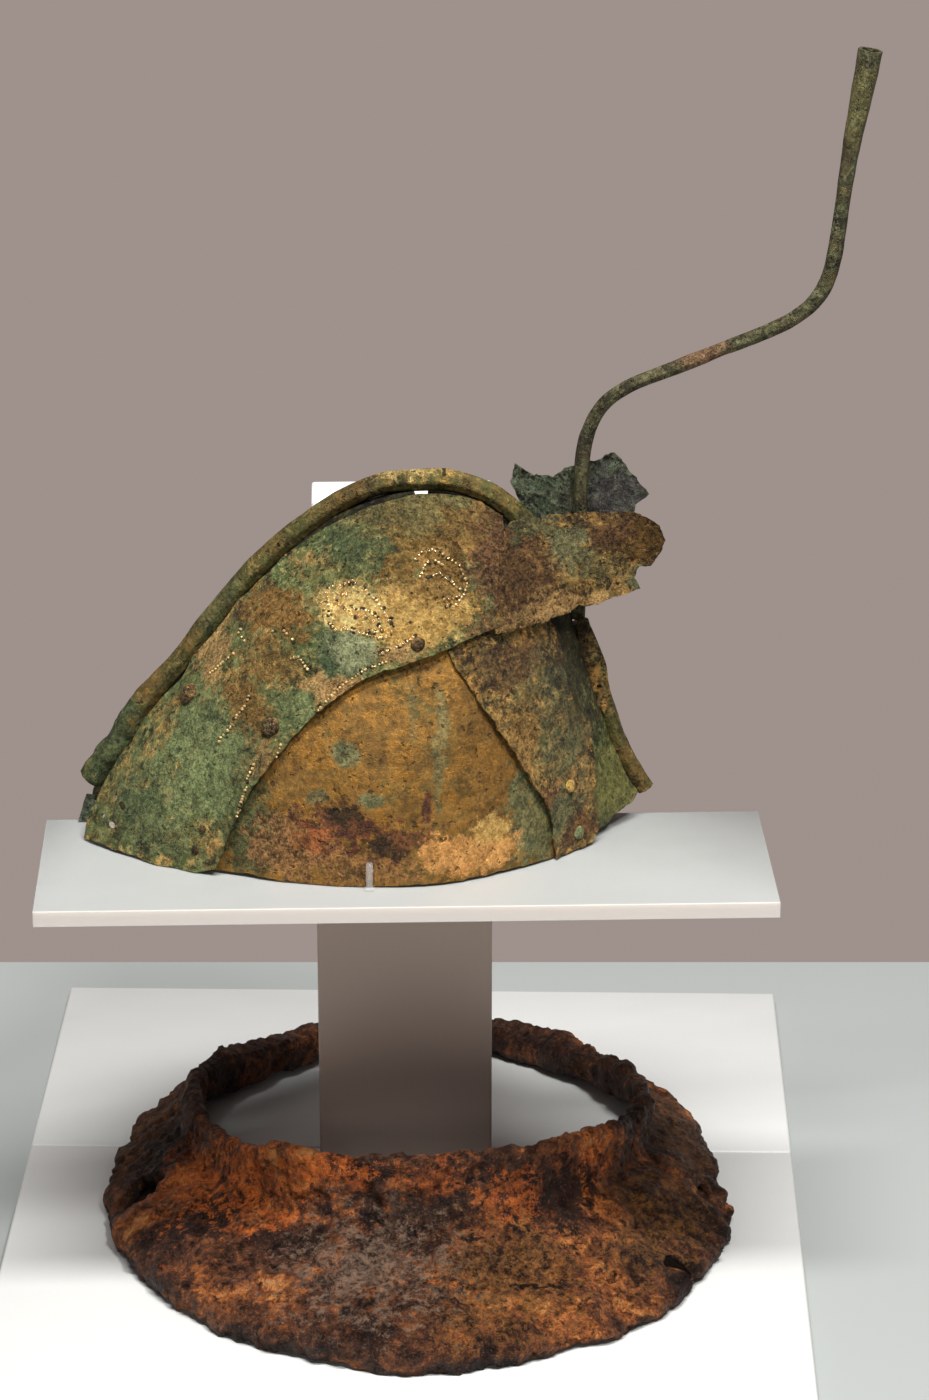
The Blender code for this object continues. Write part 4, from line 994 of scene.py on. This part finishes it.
def rust_finish():
    """Flaking iron: black and brown crust, orange rust, grey plates, with painted shade at its foot, inside
    its back and round its holes.
    """
    finish = Finish("rusty_iron")
    tree, place = finish.tree, finish.place
    bent = wobbled(tree, place, 3.0, 0.6, 5.0, 0.65, 2.0)
    broad = grainy(tree, bent, 0.25, 6.0, 0.68, 6.0)
    middle = grainy(tree, bent, 0.9, 8.0, 0.75, 12.0)
    fine = grainy(tree, place, 3.0, 7.0, 0.8, 18.0)
    grain = grainy(tree, place, 9.0, 4.0, 0.75, 24.0)
    speckle = remap(tree, mean(tree, 0.5, fine, middle), 0.42, 0.58)
    torn = wobbled(tree, place, 0.9, 2.2, 4.0, 0.7, 8.0)
    flakes = add(tree, "TexVoronoi", {"Vector": torn, "Scale": 2.6, "Detail": 1.0}).outputs
    rust = mean(tree, 0.45, broad, mean(tree, 0.5, middle, fine))
    colour = ramp(tree, remap(tree, rust, 0.41, 0.61), RUST_STOPS)
    for centre, reach, ragged, strength, light, dark in RUST_PLACES:
        mask = finish.mask(STAIN, Centre=centre, Reach=reach, Ragged=ragged, Strength=strength)
        colour = blend(tree, mask, colour, blend(tree, speckle, dark, light))
    colour = scaled(tree, colour, remap(tree, flakes["Color"], 0.2, 0.8, 0.72, 1.35))
    black = mean(tree, 0.5, grainy(tree, bent, 1.3, 8.0, 0.76, 33.0), fine)
    black = remap(tree, black, 0.470, 0.395)
    colour = blend(tree, calc(tree, "MULTIPLY", black, 0.8), colour, rgb(24, 14, 11))
    # Painted shade: the crust darkened near the base all round, for the shaded lower edge of the lip.
    foot = remap(tree, add(tree, "SeparateXYZ", {0: bent}).outputs["Z"], -18.45, -18.85, 0.0, 0.85)
    colour = blend(tree, foot, colour, rgb(30, 18, 14))
    specks = remap(tree, grain, 0.58, 0.70, 0.0, 0.55)
    colour = blend(tree, specks, colour, rgb(196, 132, 74))
    height = total(
        tree, (fine, 1.2), (grain, 0.6), (middle, 1.4), (black, -0.35), (flakes["Distance"], -0.7))
    for start, end, width, wander in RUST_CRACKS:
        mask = finish.mask(CRACK, Start=start, End=end, Width=width, Wander=wander)
        colour = blend(tree, calc(tree, "MULTIPLY", mask, 0.9), colour, rgb(14, 10, 9))
        height = calc(tree, "SUBTRACT", height, mask)
    finish.bump(height, 0.0024)
    return finish.coat({
        "Base Color": colour, "Metallic": 0.0, "Roughness": remap(tree, middle, 0.35, 0.65, 0.40, 0.80),
        "Specular IOR Level": DULL})


def plastic(name, colour, roughness, amount):
    """Acrylic with faint wiped marks."""
    finish = Finish(name)
    tree = finish.tree
    made = use(tree, SMUDGES, {"Place": finish.place, "Roughness": roughness, "Amount": amount})
    tone = blend(tree, 1.0, colour, remap(tree, made["Height"], 0.3, 0.7, 0.97, 1.0), "MULTIPLY")
    finish.bump(made["Height"], 0.00002, 0.4)
    finish.coat({"Base Color": tone, "Roughness": made["Roughness"]})
    return finish


def change_along(finish, axis, low, high, colour):
    """Change a plastic's colour from one place to another along an axis, in centimetres."""
    tree = finish.tree
    share = remap(tree, add(tree, "SeparateXYZ", {0: finish.place}).outputs[axis], low, high)
    before = finish.shader.inputs["Base Color"].links[0].from_socket
    return finish.coat({"Base Color": blend(tree, share, before, colour)})


def white_finish():
    """The base plates."""
    return plastic("white_acrylic", rgb(222, 223, 221), roughness=0.42, amount=0.2).material


def post_painted_shade_finish():
    """The post: grey-brown below the shelf as painted shade of the shelf, white where it stands behind the
    crown.
    """
    # The grey-brown colour below the shelf is painted shade; the white higher up is the post's own colour.
    finish = plastic("post_acrylic_painted_shade", rgb(190, 167, 155), roughness=0.45, amount=0.2)
    return change_along(finish, "Z", -0.2, 0.0, rgb(236, 238, 238))


def frosted_finish():
    """The shelf: frosted, its front edge painted lighter as painted light gathered in the frosted edge."""
    finish = plastic("frosted_acrylic", rgb(172, 174, 172), roughness=0.48, amount=0.2)
    # Painted light: the front edge lighter than the top, for light the frosted acrylic gathers there.
    change_along(finish, "Y", -9.30, -9.36, rgb(222, 214, 208))
    return finish.coat({
        "Subsurface Weight": 0.5, "Subsurface Radius": (1.0, 0.95, 0.9), "Subsurface Scale": 0.004})


def clear_finish():
    """The peg at the crown's foot."""
    return plastic("clear_acrylic", rgb(244, 244, 242), roughness=0.08, amount=0.05).coat({"Alpha": 0.16})


# Pieces.

# How far in from its rim a sheet is frayed, and how wide the frays are.
FRAY_REACH = 0.006
FRAY_SIZE = 0.006
SHEET_CRUST = ((0.006, 0.00030, 2), (0.002, 0.00012, 2))
# The crown's sheets stay this far over the shelf.
SHELF_GAP = 0.0001


def sheets():
    """The crown's sheets, finer, dented together and frayed at their rims."""
    gold, far_gold, patina, green = gold_finish(), far_gold_finish(), patina_finish(), green_finish()
    mottled, dark, ridge = mottled_finish(), dark_finish(), ridge_finish()
    # Node, slot, material, how many times it is made finer, and how deep its rim is frayed.
    rows = (
        ("side_plate_lower", "gold_bronze", gold, 3, 0.0005),
        ("far_plate_lower", "gold_bronze", far_gold, 2, 0.0006),
        ("side_sheet_upper", "patina_bronze", patina, 3, 0.0007),
        ("far_sheet_upper", "green_bronze", green, 2, 0.0010),
        ("ridge_under_sheet", "green_bronze", ridge, 2, 0.0006),
        ("ridge_saddle_back", "green_bronze", ridge, 2, 0.0005),
        ("ridge_saddle_front", "green_bronze", ridge, 2, 0.0005),
        ("front_wall", "green_bronze", green, 2, 0.0009),
        ("far_front_wall", "green_bronze", green, 2, 0.0009),
        ("front_plate", "mottled_bronze", mottled, 3, 0.0010),
        ("far_front_plate", "mottled_bronze", mottled, 2, 0.0010),
        ("tube_flap", "mottled_bronze", mottled, 2, 0.0008),
        ("far_tongue", "dark_bronze", dark, 3, 0.0014),
        ("back_tab", "dark_bronze", dark, 2, 0.0006),
    )
    for seed, (node, slot, material, levels, depth) in enumerate(rows):
        thing = copy_of(node)
        refine(thing, levels)
        fray(thing, depth, FRAY_REACH, FRAY_SIZE, 3.0 + seed)
        if node == "side_sheet_upper":
            lift_rim(thing, height=0.0018, seed=2.0)
        if node == "front_plate":
            lift_rim(thing, height=0.0017, seed=3.0, top=0.075)
        if node in ("front_wall", "far_front_wall"):
            reach_ridge(thing)
        if node == "ridge_saddle_back":
            stretch_strip(thing)
        dent(thing)
        if node in ("far_tongue", "front_plate"):
            roughen(thing, SHEET_CRUST, seed)
        keep_above(thing, SHELF_TOP + SHELF_GAP)
        show(thing, node, material)
        if node == "side_sheet_upper":
            punched_dots(thing)


# Rows of punched dots on the upper sheet: places along the crown and up, centimetres.
DOT_ROWS = (
    ((-3.6, 11.5), (-3.0, 11.7), (-2.5, 11.9), (-2.2, 11.8), (-1.8, 11.4), (-1.5, 11.3), (-1.2, 10.9),
     (-0.9, 10.4), (-1.0, 10.1), (-1.3, 10.0), (-2.2, 10.1), (-2.7, 10.2), (-3.2, 10.1), (-3.5, 10.4),
     (-3.4, 10.8), (-3.6, 11.5)),
    ((-3.2, 11.4), (-2.6, 11.4)),
    ((-3.2, 11.1), (-2.8, 10.9), (-1.8, 10.9), (-1.3, 10.6)),
    ((-2.4, 10.7), (-2.0, 10.7), (-1.5, 10.5), (-1.3, 10.3), (-1.5, 10.2), (-1.9, 10.2), (-2.0, 10.4)),
    ((0.0, 12.7), (0.3, 12.9), (0.7, 13.0), (1.0, 12.9), (1.5, 12.6), (1.8, 12.4), (2.1, 11.8), (2.0, 11.4),
     (1.7, 11.1), (1.5, 11.0), (1.2, 11.1)),
    ((0.2, 12.1), (0.4, 12.5), (0.7, 12.7), (1.2, 12.4)),
    ((0.6, 12.1), (1.0, 12.2), (1.5, 11.9), (1.8, 11.6), (1.8, 11.4), (1.4, 11.3), (1.2, 11.3), (1.0, 11.5)),
    ((-1.4, 9.4), (-0.7, 9.7), (0.1, 10.1)),
    ((-6.7, 7.4), (-6.8, 7.0), (-7.2, 6.5), (-7.4, 6.1), (-7.9, 5.5), (-8.0, 5.2)),
    ((-6.5, 4.8), (-6.8, 4.2), (-6.8, 3.9), (-7.1, 3.1), (-7.3, 2.5)),
    ((-5.4, 5.7), (-5.7, 5.0), (-6.2, 4.2), (-6.9, 2.8), (-7.4, 1.5)),
    ((-6.9, 9.6), (-7.2, 9.2), (-6.8, 9.0)),
    ((-7.4, 8.5), (-8.5, 7.4)),
    ((-5.9, 9.6), (-5.6, 9.8), (-5.3, 9.8), (-4.8, 9.5)),
    ((-5.0, 8.9), (-4.7, 9.0), (-4.3, 8.6), (-4.2, 8.4)),
    ((-3.9, 7.2), (-3.0, 8.1), (-2.0, 8.8), (-1.0, 9.2)),
)
DOT_STEP = 0.00155
DOT_STRAY = 0.00020
DOT_RADIUS = 0.00060
DOT_SIZES = (0.8, 1.35)
DOTS_WORN_OFF = 0.15
DOTS_DIRTY = 0.45
# The dots are looked for from this far to the crown's near side.
DOT_LOOK_FROM = 0.12
# Shares of a dot's radius: how far its dome stands out, and its dirt's place, sizes and height.
DOME_OUT = 0.3
DIRT_ASIDE = 1.5
DIRT_SIZES = (0.9, 1.5)
DIRT_HEIGHT = 0.30


def dot_places(tree):
    """The places of all the punched dots, found by looking at the sheet from its near side."""
    found = []
    for row in DOT_ROWS:
        for (x0, z0), (x1, z1) in zip(row, row[1:]):
            count = max(1, round(math.hypot(x1 - x0, z1 - z0) * CM / DOT_STEP))
            for share in (k / count for k in range(count)):
                place = Vector((x0 + (x1 - x0) * share, 0.0, z0 + (z1 - z0) * share)) * CM
                start = CROWN_FRAME @ (place + Vector((0.0, -DOT_LOOK_FROM, 0.0)))
                hit = tree.ray_cast(start, Vector((0.0, 1.0, 0.0)))[0]
                if hit:
                    found.append(hit)
    return found


def punched_dots(sheet):
    """Small domes punched up from behind, some worn off, and specks of dirt beside some."""
    tree = surface_tree(sheet)
    luck = random.Random(4)
    domes, dirt = bmesh.new(), bmesh.new()
    for wanted in dot_places(tree):
        shift = Vector((luck.uniform(-1, 1), luck.uniform(-1, 1), luck.uniform(-1, 1))) * DOT_STRAY
        place, out, _, _ = tree.find_nearest(wanted + shift)
        size = DOT_RADIUS * luck.uniform(*DOT_SIZES)
        turned = Matrix.Translation(place) @ out.to_track_quat("Z", "Y").to_matrix().to_4x4()
        if luck.random() > DOTS_WORN_OFF:
            lifted = turned @ Matrix.Translation((0.0, 0.0, size * DOME_OUT))
            bmesh.ops.create_icosphere(domes, subdivisions=2, radius=size, matrix=lifted)
        if luck.random() > DOTS_DIRTY:
            continue
        aside = Vector((luck.uniform(-1, 1), luck.uniform(-1, 1), 0.0)) * size * DIRT_ASIDE
        long, wide = size * luck.uniform(*DIRT_SIZES), size * luck.uniform(*DIRT_SIZES)
        flat = Matrix.Diagonal((long, wide, size * DIRT_HEIGHT, 1.0))
        speck = turned @ Matrix.Translation(aside) @ flat
        bmesh.ops.create_icosphere(dirt, subdivisions=2, radius=1.0, matrix=speck)
    show_extra("punched_dots", domes, dot_finish(), smooth=True)
    show_extra("dot_dirt", dirt, dirt_finish(), smooth=True)


LOBE_CRUST = ((0.010, 0.0007, 2), (0.004, 0.0004, 3), (0.0016, 0.00018, 2))


def lobe():
    """The thick brown sheet at the front of the ridge, lumpy and pitted."""
    thing = copy_of("front_lobe")
    refine(thing, 3)
    fray(thing, depth=0.0012, reach=0.007, scale=0.007, seed=21.0)
    dent(thing)
    roughen(thing, LOBE_CRUST, 5.0)
    show(thing, "front_lobe", brown_finish())


TUBE_CRUST = ((0.014, 0.00030, 2), (0.004, 0.00012, 2))


def tubes():
    """The crest tube's two lengths, which bend with the sheets, and the crest rod, which doesn't."""
    tube = tube_finish()
    rows = (
        ("crest_tube", "tube_bronze", tube),
        ("crest_tube_front", "tube_bronze", tube),
        ("crest_rod", "rod_bronze", rod_finish()),
    )
    for seed, (node, slot, material) in enumerate(rows):
        thing = copy_of(node)
        refine(thing, 2)
        if node != "crest_rod":
            dent(thing)
        if node == "crest_tube":
            swell_end(thing)
        roughen(thing, TUBE_CRUST, seed + 9.0)
        show(thing, node, material)


# The sheets that carry rivet heads; all the others sit on the upper sheet.
RIVET_SHEETS = {
    "rivet_front_upper": "front_plate", "rivet_front_lower": "front_plate",
    "rivet_far_ridge": "far_sheet_upper", "rivet_far_front": "far_front_plate",
}
RIVET_CRUST = ((0.003, 0.00045, 2), (0.001, 0.00012, 2))
# Each head's sheet is looked for from this far outside.
RIVET_LOOK_FROM = 0.020


def follow_sheet(thing, node):
    """Move a rivet head by as much as the surface under it has moved."""
    sheet = RIVET_SHEETS.get(node, "side_sheet_upper")
    before, after = surface_tree(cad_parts[sheet]), surface_tree(bpy.data.objects[sheet + "_piece"])
    points = points_of(thing)
    middle = Vector(points.mean(axis=0))
    out = (middle - before.find_nearest(middle)[0]).normalized()
    start = middle + out * RIVET_LOOK_FROM
    old, new = before.ray_cast(start, -out)[0], after.ray_cast(start, -out)[0]
    move_points(thing, points + np.array(new - old))


def rivet_heads():
    """The domed heads, each on the dressed sheet that it holds."""
    material = rivet_finish()
    for seed, node in enumerate(sorted(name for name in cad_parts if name.startswith("rivet_"))):
        thing = copy_of(node)
        refine(thing, 2)
        follow_sheet(thing, node)
        roughen(thing, RIVET_CRUST, seed + 30.0)
        show(thing, node, material)


# The brim's middle, the height of its foot just over the base, the size of the cubes that it
# is fused from and the rounds that smooth them.
BRIM_CENTRE = (0.005, 0.017)
BRIM_FOOT = 0.0062
BRIM_GRAIN = 0.0018
BRIM_ROUNDS = 4
# Where the brim's rust is thick. Each pair goes from nothing to the full amount: round the
# brim in degrees from its right side, up it and along it in metres.
LIP = 0.0055
LIP_TURN = ((195.0, 215.0), (300.0, 270.0))
LIP_HEIGHT = ((0.0085, 0.0125), (0.030, 0.018))
BACK_FOOT = 0.013
BACK_TURN = ((15.0, 45.0), (165.0, 135.0))
BACK_HEIGHT = (0.036, 0.006)
LEFT_SIDE = 0.0050
LEFT_PLACE = (-0.060, -0.120)
LEFT_HEIGHT = (0.050, 0.030)
# The crust on it: how thick it is at least, its lumps as (scale, height, octaves) and its
# furrows as (scale, depth), all in metres.
CRUST = 0.0012
CRUST_LUMPS = ((0.036, 0.0026, 2), (0.013, 0.0018, 3), (0.0045, 0.0008, 2))
CRUST_FURROWS = ((0.030, 0.0016), (0.012, 0.0008))
CRUST_SEED = 40
# Dark lumps inside the brim's holes, painted shade for the dark seen through them: crown place in
# centimetres, lean in degrees and size.
HOLE_SHADE_LUMPS = (
    ((-10.9, 1.0, -18.2), -20.0, 1.0),
    ((12.2, 0.6, -18.3), 20.0, 1.0),
    ((10.7, -6.7, -18.75), 0.0, 0.9),
)
SHADE_LUMP_SIZE = (0.013, 0.015)
SHADE_LUMP_THICK = 0.0025


def between(values, first, second):
    """1 between two edges and 0 outside them; each edge is a pair that goes from 0 to 1."""
    return rise(values, *first) * rise(values, *second)


def thicken_brim(thing):
    """Thicken the brim's lower lip, the inside of its back foot and its left side."""
    points = points_of(thing)
    away = points[:, :2] - np.array(BRIM_CENTRE)
    away /= np.linalg.norm(away, axis=1)[:, None]
    turn = np.degrees(np.arctan2(away[:, 1], away[:, 0])) % 360.0
    inner = rise((normals_of(thing)[:, :2] * away).sum(axis=1), 0.0, -0.5)
    points[:, 2] += LIP * between(turn, *LIP_TURN) * between(points[:, 2], *LIP_HEIGHT)
    back = between(turn, *BACK_TURN) * rise(points[:, 2], *BACK_HEIGHT)
    points[:, :2] -= away * (BACK_FOOT * inner * back)[:, None]
    points[:, 0] -= LEFT_SIDE * rise(points[:, 0], *LEFT_PLACE) * rise(points[:, 2], *LEFT_HEIGHT)
    move_points(thing, points)


def crust_brim(thing):
    """Cover the brim in lumps of rust with furrows between them."""
    points = points_of(thing)
    depth = np.full(len(points), CRUST)
    for seed, (scale, height, octaves) in enumerate(CRUST_LUMPS, CRUST_SEED):
        depth += height * rolling(points, scale, octaves, seed)
    for seed, (scale, height) in enumerate(CRUST_FURROWS, CRUST_SEED + len(CRUST_LUMPS)):
        depth += height * ridged(points, scale, seed)
    push_out(thing, depth)


def hole_shade_lumps(material):
    """Dark lumps inside the brim's holes: painted shade, in the rust finish."""
    work = bmesh.new()
    for place, lean, size in HOLE_SHADE_LUMPS:
        middle = Matrix.Translation(CROWN_FRAME @ (Vector(place) * CM))
        turned = middle @ Matrix.Rotation(math.radians(lean), 4, "Y")
        long, wide = (size * measure for measure in SHADE_LUMP_SIZE)
        shape = Matrix.Diagonal((long, wide, SHADE_LUMP_THICK, 1.0))
        bmesh.ops.create_icosphere(work, subdivisions=3, radius=1.0, matrix=turned @ shape)
    show_extra("hole_shade_lumps", work, material, smooth=False)


def brim():
    """The iron brim as one crusted, lumpy mass."""
    thing = copy_of("iron_brim")
    fuse(thing, BRIM_GRAIN, BRIM_ROUNDS)
    thicken_brim(thing)
    crust_brim(thing)
    keep_above(thing, BRIM_FOOT)
    material = rust_finish()
    show(thing, "iron_brim", material)
    # The dark lumps in the holes are painted shade.
    hole_shade_lumps(material)


def stand():
    """The plain stand: two base plates, the post, the shelf and the clear peg."""
    white = white_finish()
    rows = (
        ("base_plate_front", "white_acrylic", white),
        ("base_plate_back", "white_acrylic", white),
        ("post", "white_acrylic", post_painted_shade_finish()),
        ("shelf", "frosted_acrylic", frosted_finish()),
        ("clear_peg", "clear_acrylic", clear_finish()),
    )
    for node, slot, material in rows:
        show(copy_of(node), node, material)


# The corners of the table's top and of the wall, metres.
FLOOR = ((-4, -4, 0), (4, -4, 0), (4, 0.24, 0), (-4, 0.24, 0))
WALL = ((-8, 5, -6), (8, 5, -6), (8, 5, 6), (-8, 5, 6))


def stage():
    """A pale table, and far behind it a plain wall that glows evenly by itself."""
    rows = (
        ("floor", FLOOR, rgb(172, 176, 174), None),
        ("wall", WALL, rgb(10, 10, 10), rgb(158, 145, 140)),
    )
    for name, corners, colour, glow in rows:
        mesh = bpy.data.meshes.new(name)
        mesh.from_pydata(corners, [], [(0, 1, 2, 3)])
        material = bpy.data.materials.new(name)
        material.use_nodes = True
        shader = material.node_tree.nodes["Principled BSDF"].inputs
        shader["Base Color"].default_value = colour
        shader["Roughness"].default_value = 0.7
        if glow:
            shader["Emission Color"].default_value = glow
            shader["Emission Strength"].default_value = 1.0
        mesh.materials.append(material)
        new_thing(name, mesh)


def lamp(name, place, aim, size, power, colour):
    """A soft oval lamp; its power is in watts."""
    light = bpy.data.lights.new(name, "AREA")
    light.shape = "ELLIPSE"
    light.size, light.size_y = size
    light.energy = power
    light.color = colour
    thing = new_thing(name, light)
    thing.location = place
    thing.rotation_euler = (Vector(aim) - Vector(place)).to_track_quat("-Z", "Y").to_euler()


def lights():
    """A broad lamp high over the front, a small one to its right, a weak fill and a dim room."""
    lamp("key", (0.05, -0.54, 1.68), (0.0, -0.03, 0.15), (1.1, 0.22), 34.0, (1.0, 0.995, 0.98))
    lamp("front", (0.42, -0.86, 1.45), (0.0, -0.03, 0.15), (0.22, 0.22), 12.0, (1.0, 0.985, 0.96))
    lamp("fill", (-0.5, -1.9, 0.75), (0.0, -0.05, 0.15), (1.4, 0.5), 3.0, (1.0, 0.985, 0.96))
    world = bpy.data.worlds.new("room")
    world.use_nodes = True
    background = world.node_tree.nodes["Background"].inputs
    background["Color"].default_value = (0.97, 0.95, 1.0, 1.0)
    background["Strength"].default_value = 0.04
    bpy.context.scene.world = world


def camera():
    """The photograph's camera, looking down along the middle of the object."""
    data = bpy.data.cameras.new("photo_camera")
    data.sensor_fit = "VERTICAL"
    data.sensor_height = SENSOR_HEIGHT
    data.lens = FOCAL_PIXELS * SENSOR_HEIGHT / PHOTO_SIZE[1]
    thing = new_thing("photo_camera", data)
    thing.location = CAMERA_PLACE
    thing.rotation_euler = (math.pi / 2.0 - CAMERA_DOWN, 0.0, 0.0)
    bpy.context.scene.camera = thing


sheets()
lobe()
tubes()
rivet_heads()
brim()
stand()
stage()
lights()
camera()
bpy.context.scene.view_settings.view_transform = "Standard"
